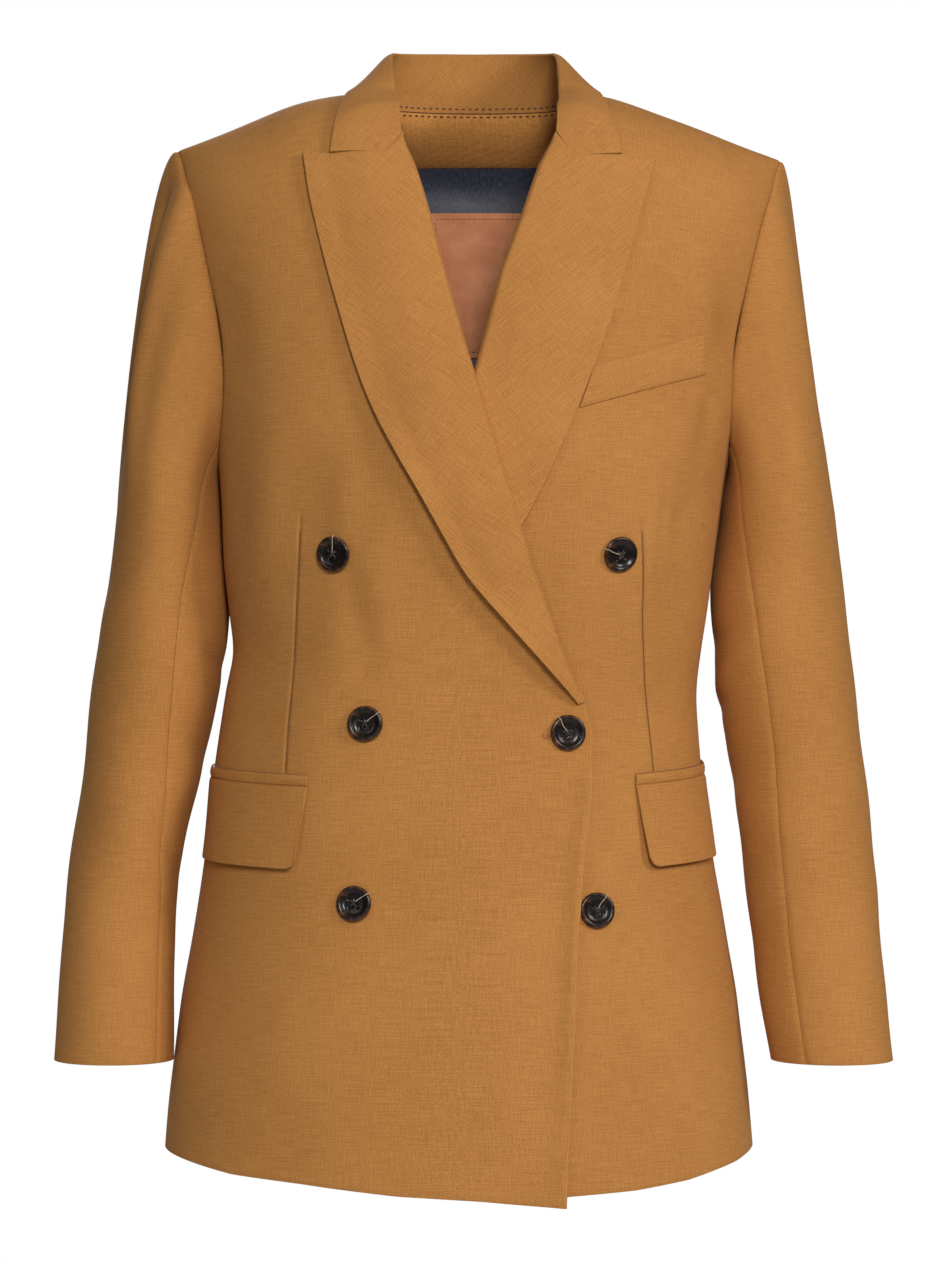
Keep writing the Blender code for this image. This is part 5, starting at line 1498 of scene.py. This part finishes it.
def leaf_line(side, index):
    """The collar leaf's outer face from the fold to its edge, at one row."""
    row, fold = collar_at(index), fold_at(side, index)
    if index == len(COLLAR_ROWS) - 1:
        corner, notch = notch_shares(side)
        gorge = np.array([0.0, corner / 2, *np.linspace(corner, notch, 4)])
        places = along(LAPEL_TOP[side], gorge)
        rise = LEAF_END_RISE + (row.rise - LEAF_END_RISE) * blend(0.0, notch, gorge)
        return on_front(side, places[:, 0], places[:, 1], rise)[0]
    edge, share = np.array([SIGN[side] * row.edge_x, row.edge_y]), np.linspace(0, 1, 6)
    if index >= LEAF_FRONT_ROW:
        start = max(row.rise, row.fold_z - height_at(fold[0], fold[1]))
        places = fold[:2] + (edge - fold[:2]) * share[:, None]
        rise = start + (row.rise - start) * share + LEAF_BULGE * 4 * share * (1 - share)
        return on_shoulder(places[:, 0], places[:, 1], rise)
    edge = np.array([*edge, height_at(edge[0], edge[1]) + row.rise])
    control = fold + (edge - fold) * LEAF_CROWN_PLACE
    aside = index / (LEAF_FRONT_ROW - 1)
    control[2] = fold[2] + LEAF_CROWN + (LEAF_CROWN_SIDE - LEAF_CROWN) * aside
    s = share[:, None]
    return fold * (1 - s) ** 2 + 2 * control * s * (1 - s) + edge * s**2


def both_sides(line_of, indices):
    """A grid of lines from the right end round the back to the left end."""
    rows = [line_of("right", i) for i in reversed(indices[1:])]
    rows += [line_of("left", i) for i in indices]
    return np.array(rows)


def rolled_fold(leaf):
    """The leaf with extra columns that carry it over its fold and down the stand."""
    fold, inward = leaf[:, :1], unit((leaf[:, :1] - leaf[:, 1:2]) * (1, 1, 0))
    near = (1 - blend(*FOLD_FADE, abs(np.linspace(-1, 1, len(leaf)))))[:, None, None]
    extra = [fold + near * (inward * aside - (0, 0, down)) for aside, down in FOLD_OVER]
    return np.concatenate([*extra, leaf], 1)


def notched(leaf):
    """The leaf with ends that stop short of the lapels, most at the open notch."""
    ends = leaf.copy()
    for edge in ("top", "bottom"):
        rows = from_edge(leaf, edge)
        across = lengths_along(rows[0])
        gap = SEAM + (NOTCH_GAP - SEAM) * blend(*NOTCH_OPENS, across / across[-1])
        from_edge(ends, edge)[0] += gap[:, None] * unit(rows[1] - rows[0])
    return ends


def round_collar(name, grid, normals, out, free=()):
    """A collar piece on a grid, moved out along its normals."""
    place = np.stack([distance_from(grid, "top"), distance_from(grid, "first")], -1)
    cloth(name, grid + out * normals, normals, place, free)


def build_collar():
    """The leaf, rolled over its fold, and the stand inside it."""
    front_rows = np.arange(LEAF_FRONT_ROW, len(COLLAR_ROWS) - 0.9, 0.5)
    leaf = refine(both_sides(leaf_line, [*range(LEAF_FRONT_ROW), *front_rows]), *LEAF_SIZE)
    leaf = rolled_fold(notched(leaf))
    normals = grid_normals(leaf)
    leaf = pressed(leaf, normals, DIPS["leaf"], TRIM_SOFT)
    round_collar("collar_leaf", leaf, normals, 0.0, ("last",))

    seams = {side: neck_seam(side) for side in SIGN}

    def stand_line(side, index):
        base = seams[side][index] * (STAND_INSIDE, STAND_INSIDE, 0)
        base[2] = joined_level(base[0], seams[side][index][2])
        top = fold_at(side, index, STAND_DROP)
        top = top - STAND_ASIDE * unit(top * (1, 1, 0))
        return top + (base - top) * np.linspace(0, 1, 4)[:, None]

    inner = refine(both_sides(stand_line, range(LEAF_FRONT_ROW + 1)), *STAND_SIZE)
    normals = grid_normals(inner)
    round_collar("collar_stand", inner, normals, WALL)
    low = inner[:, -2] - STAND_LINE_OUT * normals[:, -2]
    low = low[abs(low[:, 0]) < STAND_SEWN]
    stitches("stand_stitches", low, *NECK_STITCH, "neck_thread")


def neck_seam(side):
    """Points of the neck seam at the collar's rows, from the middle back to the front."""
    shares, levels = neck_places()
    at = np.linspace(0, len(shares) - 1, NECK_COLUMNS + 1)
    places = np.arange(len(shares))
    angle = SIGN[side] * (np.pi - np.pi / 2 * np.interp(at, places, shares))
    back = body_base(angle, np.interp(at, places, levels))
    level = armhole(side, np.array([NECK_FRONT_TURN]))[1]
    front = body_base(angle_of_x(edge_x(side, level), level), level)
    return np.concatenate([back, front])


# Sleeves

def turn_from(degrees, middle):
    """Turns from a middle one, within half a circle either way."""
    return (degrees - middle + 180) % 360 - 180


def sleeve_relief(side, level, degrees):
    """How far the creases lift a sleeve at a level and turn."""
    total = 0.0 * (level + degrees)
    for crease in [row for row in SLEEVE_CREASES if row.side == side]:
        turn = turn_from(degrees, crease.turn)
        middle = crease.level + crease.slant * turn / 90
        near = np.exp(-(((level - middle) / crease.width) ** 2))
        ends = np.cos(np.clip(turn / crease.reach, -1, 1) * np.pi / 2) ** 2
        total = total + crease.height * near * ends
    return total


def sleeve_folds(side, z, degrees):
    """How far the long folds lift a sleeve at a height and turn."""
    total = 0.0 * (z + degrees)
    for fold in [row for row in SLEEVE_FOLDS if row.side == side]:
        down = blend(-fold.start, -fold.full, -z) * (1 - blend(-fold.fades, -fold.ends, -z))
        near = np.exp(-((turn_from(degrees, fold.turn) / fold.width) ** 2))
        total = total + fold.height * down * near
    return total


def sleeve_ring(side, level, degrees):
    """Points of a sleeve's section at levels and turns."""
    turn = np.radians(degrees)
    lift = sleeve_relief(side, level, degrees)
    lift = lift + ripple(degrees * SLEEVE_ARC, level, *SLEEVE_RIPPLE[side])
    across = smooth(SLEEVE_ROWS, "out_" + side, level)
    across = across + (smooth(SLEEVE_ROWS, "half_" + side, level) + lift) * np.cos(turn)
    y = smooth(SLEEVE_ROWS, "depth_y", level)
    y = y - (smooth(SLEEVE_ROWS, "half_depth", level) + lift) * np.sin(turn)
    return np.stack(np.broadcast_arrays(SIGN[side] * across, y, level), -1)


def sleeve_turns(side, level, which):
    """Turns of the points round one sleeve piece, at a level or at the armhole."""
    front = FRONT_SEAM_TURN if level is None else smooth(SLEEVE_ROWS, "seam_" + side, level)
    first, last = ((BACK_SEAM_TURN - 360, front), (front, BACK_SEAM_TURN))[which]
    shares = close_columns(SLEEVE_COLUMNS[which], width=SLEEVE_WIDTHS[which])
    return first + (last - first) * shares


def cap_start(side, degrees):
    """Where the sleeve starts at the armhole, and the way that it sets out."""
    turn = np.radians(degrees)
    down = CAP_DROP + CAP_UNDER_DROP * np.maximum(0.0, -np.cos(turn))
    sideways = np.full(len(turn), SIGN[side])
    way = unit(np.stack([sideways, -CAP_TURN_IN * np.sin(turn), -down], -1))
    return body_base(*armhole(side, degrees)) + way * CAP_CLEAR, way


def sleeve_grid(side, which):
    """Points and turns of one sleeve piece: rows from armhole to cuff, columns round."""
    top_level = SLEEVE_ROWS[0].level
    degrees = sleeve_turns(side, None, which)
    ring_degrees = sleeve_turns(side, top_level, which)
    ring = sleeve_ring(side, np.full(len(degrees), top_level), ring_degrees)
    start, way = cap_start(side, degrees)
    upright = np.cos(np.radians(degrees))
    top, under = np.maximum(0.0, upright), np.maximum(0.0, -upright)
    flank = 1 - top - under
    reach = CAP_TOP_REACH[side] * top + CAP_UNDER_REACH * under + CAP_SIDE_REACH * flank
    hang = CAP_TOP_HANG * top + CAP_UNDER_HANG * under + CAP_SIDE_HANG * flank
    first = start + way * reach[:, None]
    lean = -SIGN[side] * CAP_TOP_LEAN[side] * top * hang
    second = ring + np.stack([lean, 0 * hang, hang], -1)
    t = (np.linspace(0, 1, CAP_ROWS + 1)[:-1] ** 1.5)[:, None, None]
    cap = start * (1 - t) ** 3 + 3 * first * t * (1 - t) ** 2
    cap = cap + 3 * second * t**2 * (1 - t) + ring * t**3
    level = np.linspace(top_level, SLEEVE_ROWS[-1].level, SLEEVE_STEPS + 1)
    turns = np.array([sleeve_turns(side, at, which) for at in level])
    cap_turns = degrees + (ring_degrees - degrees) * t[..., 0]
    points = np.concatenate([cap, sleeve_ring(side, level[:, None], turns)])
    return points, np.concatenate([cap_turns, turns])


def tube_normals(side, whole):
    """Unit vectors out of a closed tube of points: rows down it, columns round it."""
    wrapped = np.concatenate([whole[:, -1:], whole, whole[:, :1]], 1)
    return unit(np.cross(wrapped[:, 2:] - wrapped[:, :-2], np.gradient(whole, axis=0))) * SIGN[side]


def two_pieces(whole, count):
    """The grids of a sleeve's upper and under pieces, out of the grid all round."""
    return whole[:, :count], np.concatenate([whole[:, count - 1:], whole[:, :1]], 1)


def build_sleeve(side):
    """The upper and under pieces of a sleeve, whose normals agree at their seams."""
    grids, turns = zip(*[sleeve_grid(side, which) for which in (0, 1)])
    count = grids[0].shape[1]
    whole = np.concatenate([grid[:, :-1] for grid in grids], 1)
    lift = sleeve_folds(side, whole[..., 2], np.concatenate([turn[:, :-1] for turn in turns], 1))
    whole = lifted(whole, lift, tube_normals(side, whole))
    normals = two_pieces(tube_normals(side, whole), count)
    for which, points, outward in zip(("upper", "under"), two_pieces(whole, count), normals):
        points = trimmed(points, SEAM / 2, ("first", "last"))
        round_it = distance_from(points, "first")
        middle = round_it.shape[1] // 2
        place = np.stack([round_it - round_it[:, middle:middle + 1], points[..., 2]], -1)
        points = pressed(points, outward, DIPS["sleeve"])
        grids = turned_in(points, outward, place, ("top",), CAP_MEETS)
        cloth(f"sleeve_{which}_{side}", *grids, ("bottom",))


# Pockets and welt

def pocket_grid(pocket, distance, down, out):
    """Points and normals at distances round from the pocket's corner, and down."""
    level = pocket.corner_level + pocket.rise * distance / FLAP_WIDTH - down
    angle = np.zeros_like(level)
    for row in range(len(level)):
        at = pocket.corner_level - down[row, 0]
        start = angle_of_x(pocket.corner_x, at)
        angle[row] = angle_along(start, at, SIGN[pocket.side] * distance[row])
    base, normals, x, z = body_at(angle, level)
    lift = faded_relief(angle, x, z) + front_out(pocket.side, x, level) + LIE + out
    return lifted(base, lift, normals), normals


def build_jet(pocket):
    """A pocket's jet, between two dark lines that paint the shadow in its seams."""
    side = pocket.side
    across, down = np.meshgrid(close_columns(JET_COLUMNS, width=FLAP_WIDTH), JET_ROWS)
    round_up = JET_ROUND * (1 - ((down + JET_HEIGHT / 2) / (JET_HEIGHT / 2)) ** 4)
    points, normals = pocket_grid(pocket, across * FLAP_WIDTH, down, LINING + round_up)
    place = np.stack([across * FLAP_WIDTH, -down], -1)
    cloth("pocket_jet_" + side, points, normals, place, EDGES, ["front_" + side])
    across, down = np.meshgrid(np.linspace(0, 1, DART_POINTS), JET_SHADE_LINES)
    lines = pocket_grid(pocket, across * FLAP_WIDTH, down, SEAM - LIE)[0]
    sew("jet_lines_" + side, lines, SHADE_LINE_RADIUS, "brown_thread_and_painted_shade")


def build_flap(pocket):
    """The flap below a jet: round at its lower corners, and off the cloth in places."""
    rows = close_columns(FLAP_SIZE[0], width=FLAP_HEIGHT)
    across, rows = np.meshgrid(close_columns(FLAP_SIZE[1], width=FLAP_WIDTH), rows)
    distance = across * FLAP_WIDTH
    end = np.maximum(0.0, 1 - np.minimum(distance, FLAP_WIDTH - distance) / FLAP_CORNER)
    height = FLAP_HEIGHT - FLAP_CORNER * (1 - np.sqrt(1 - end**2))
    down = FLAP_GAP + (height - FLAP_GAP) * rows
    bow = FLAP_STAND * rows**1.5 * (1 - blend(*FLAP_STAND_FADE, across))
    bow = bow + FLAP_WAVE * np.sin(np.pi * across * FLAP_WAVES) * rows
    corner = FLAP_TILT[0] * np.exp(-distance / FLAP_TILT[1]) * rows
    leaning = distance + FLAP_LEAN * down / FLAP_HEIGHT
    points, normals = pocket_grid(pocket, leaning, down, WALL + bow + corner)
    points = pressed(points, normals, DIPS["flap"], FLAP_SOFT)
    place = np.stack([distance, -down], -1)
    side = pocket.side
    cloth("pocket_flap_" + side, points, normals, place, EDGES, ["front_" + side])


def build_welt():
    """The slanting breast welt, whose weave runs with its slope."""
    shares, rows = (
        close_columns(count, width=width) for count, width in zip(WELT_COLUMNS, WELT_WIDTHS)
    )
    top, bottom = along(WELT_TOP, shares), along(WELT_BOTTOM, shares)
    place = top[None] + (bottom - top)[None] * rows[:, None, None]
    bow = WELT_BOW * np.sin(np.pi * rows)[:, None] * np.ones(len(shares))
    points, normals = on_front("left", place[..., 0], place[..., 1], LIE + LINING + bow)
    points = pressed(points, normals, DIPS["welt"], TRIM_SOFT)
    cosine, sine = unit(np.subtract(WELT_TOP[1], WELT_TOP[0]))
    turn = np.array([[cosine, -sine], [sine, cosine]])
    cloth("breast_welt", points, normals, place @ turn, EDGES, ["front_left"])


# Buttons

def button_place(node):
    """The middle of a button's back, and its turn, from its solid's own points."""
    points = np.array([v.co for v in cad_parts[node].data.vertices])
    axis = np.linalg.svd(points - points.mean(0), full_matrices=False)[2][2]
    axis = -axis * np.sign(axis[1])
    up = unit(np.cross(axis, (1.0, 0.0, 0.0)))
    turn = np.stack([np.cross(up, axis), up, axis])
    local = points @ turn.T
    low, high = local.min(0), local.max(0)
    return np.array([*(low + high)[:2] / 2, low[2]]) @ turn, turn


def turned_button(name):
    """A button's body with a raised rim, turned about the third axis."""
    round_it = circle(BUTTON_SEGMENTS)
    fold = abs(np.linspace(0, 2, BUTTON_SEGMENTS, endpoint=False) - 1)
    points, uvs = [], []
    for radius, height in BUTTON_PROFILE:
        points.append(np.column_stack([radius * round_it, 0 * fold + height]))
        uvs.append(np.column_stack([0 * fold + radius / BUTTON_RADIUS, fold]))
    count = BUTTON_SEGMENTS * len(BUTTON_PROFILE)
    faces = [range(BUTTON_SEGMENTS)]
    faces += ring_faces(len(BUTTON_PROFILE), BUTTON_SEGMENTS)[:, [0, 3, 2, 1]].tolist()
    faces += [range(count - 1, count - 1 - BUTTON_SEGMENTS, -1)]
    points, uvs = np.concatenate(points), np.concatenate(uvs)
    return add_mesh(name, points, faces, "button_horn", uvs, 50)


def hole_cutter():
    """Four pegs, in the places of a button's holes."""
    points, faces = [], []
    for corner in ((-1, -1), (-1, 1), (1, -1), (1, 1)):
        base = HOLE_SEGMENTS * len(points)
        ring = HOLE_RADIUS * circle(HOLE_SEGMENTS) + HOLE_PLACE * np.array(corner)
        points += [np.column_stack([ring, np.full(HOLE_SEGMENTS, z)]) for z in HOLE_ENDS]
        faces += (base + ring_faces(2, HOLE_SEGMENTS)).tolist()
        faces += [range(base + HOLE_SEGMENTS - 1, base - 1, -1)]
        faces += [range(base + HOLE_SEGMENTS, base + 2 * HOLE_SEGMENTS)]
    return add_mesh("hole_cutter", np.concatenate(points), faces, "button_horn")


def horn_button(name):
    """A turned button with four holes drilled through it."""
    button, cutter = turned_button(name), hole_cutter()
    holes = button.modifiers.new("holes", "BOOLEAN")
    holes.operation = "DIFFERENCE"
    holes.object = cutter
    drilled = button.evaluated_get(bpy.context.evaluated_depsgraph_get())
    drilled = bpy.data.meshes.new_from_object(drilled)
    button.modifiers.clear()
    button.data = drilled
    bpy.data.objects.remove(cutter, do_unlink=True)
    return button


def strand_paths():
    """Paths of the threads that cross a button between its four holes."""
    t = np.linspace(-1, 1, STRAND_POINTS)
    across = t * HOLE_PLACE
    height = STRAND_LEVEL + STRAND_BOW * (1 - t**2) - STRAND_DIP * blend(*STRAND_DIPS, abs(t))
    paths = []
    for strand in STRANDS:
        for way in (-1, 1):
            over = height + STRAND_CROSS * way
            paths.append(np.stack([across - strand * way, way * across + strand, over], -1))
    return paths


def loose_path(degrees):
    """The path of a light thread that runs out over a button's rim at a turn."""
    turn = np.radians(degrees)
    radii, heights = np.array(LOOSE_THREAD).T
    sway = LOOSE_SWAY * np.sin(radii * LOOSE_WAVES)
    x = radii * np.cos(turn) - sway * np.sin(turn)
    y = radii * np.sin(turn) + sway * np.cos(turn)
    return along(np.stack([x, y, heights], -1), np.linspace(0, 1, LOOSE_POINTS))


def build_button(index):
    """A horn button sewn on with crossed dark thread and one loose light one."""
    node = f"button_{index}"
    place, turn = button_place(node)
    button = horn_button(node + "_horn")
    crossed = threads_mesh(node + "_thread", strand_paths(), STRAND_RADIUS, "dark_thread")
    loose = [loose_path(BUTTON_THREADS[index - 1])]
    light = threads_mesh(node + "_light_thread", loose, LOOSE_RADIUS, "light_thread")
    for piece in (button, crossed, light):
        piece.data.transform(Matrix(turn.T.tolist()).to_4x4())
        piece.data.transform(Matrix.Translation(place.tolist()))
    dress(button, [node])
    dress(crossed)
    dress(light)


def worked_thread(start, way, normal, rows):
    """The path of one thread from rows of distance out from its start, and height."""
    return np.array([start + out * way + up * normal for out, up in rows])


def build_buttonhole():
    """The hole that button 4 passes, worked in rust thread, on the right front."""
    count, tip_count = BUTTONHOLE_COUNTS
    x, z = np.linspace(BUTTONHOLE_START, BUTTONHOLE_END, count).T
    points, normals = on_front("right", x, z, np.full(count, BUTTONHOLE_OUT))
    across = unit(np.cross(normals, np.gradient(points, axis=0)))
    paths = []
    for ways in (-across, across):
        paths += [worked_thread(*at, BUTTONHOLE_SIDE) for at in zip(points, ways, normals)]
    ahead = unit(points[0] - points[1])
    for turn in np.radians(np.linspace(-80, 80, tip_count)):
        way = np.cos(turn) * ahead + np.sin(turn) * across[0]
        paths.append(worked_thread(points[0], way, normals[0], BUTTONHOLE_TIP))
    sew("buttonhole", paths, STRAND_RADIUS, "rust_thread")


# Light, floor and camera

def place_in_scene(name, data, place, turn):
    item = bpy.data.objects.new(name, data)
    item.location = place
    item.rotation_euler = turn
    bpy.context.scene.collection.objects.link(item)
    return item


def area_light(row):
    light = bpy.data.lights.new(row.name, "AREA")
    light.shape = "RECTANGLE"
    light.energy = row.power
    light.size = row.width
    light.size_y = row.height
    light.color = row.colour
    way = Vector(row.target) - Vector(row.place)
    place_in_scene(row.name, light, row.place, way.to_track_quat("-Z", "Y").to_euler())


def build_studio():
    """White surroundings, soft lights before and behind, and a pale round floor."""
    world = bpy.data.worlds.new("studio")
    world.use_nodes = True
    nodes, links = world.node_tree.nodes, world.node_tree.links
    background = nodes["Background"]
    background.inputs[0].default_value = (1.0, 1.0, 1.0, 1.0)
    seen = nodes.new("ShaderNodeLightPath")
    strength = nodes.new("ShaderNodeMapRange")
    strength.inputs["To Min"].default_value = WORLD_LIGHT
    strength.inputs["To Max"].default_value = WORLD_SEEN
    links.new(seen.outputs["Is Camera Ray"], strength.inputs["Value"])
    links.new(strength.outputs[0], background.inputs[1])
    scene = bpy.context.scene
    scene.world = world
    scene.view_settings.view_transform = "Standard"
    scene.view_settings.look = "None"
    for row in LIGHT_ROWS:
        area_light(row)

    new_material("pale_floor", FLOOR_FINISH)
    rim = np.column_stack([FLOOR_RADIUS * circle(FLOOR_SIDES), np.full(FLOOR_SIDES, FLOOR_LEVEL)])
    add_mesh("floor", rim, [range(FLOOR_SIDES)], "pale_floor")

    camera = bpy.data.cameras.new("camera")
    camera.lens = CAMERA_LENS
    camera.sensor_width = CAMERA_SENSOR
    scene.camera = place_in_scene("camera", camera, CAMERA_PLACE, (np.pi / 2, 0.0, 0.0))


for row in WOOL_ROWS:
    wool(row)
satin("navy_satin")
leather("tan_leather")
horn("button_horn")
for name, colour in THREADS.items():
    thread(name, colour)

for side in SIGN:
    build_front(side)
    build_dart_shade_line(side)
    build_back(side)
    build_lapel(side)
    build_sleeve(side)
build_edge_highlight()
build_inside()
build_collar()
for pocket in POCKET_ROWS:
    build_jet(pocket)
    build_flap(pocket)
build_welt()
for index in range(1, 7):
    build_button(index)
build_buttonhole()
build_studio()
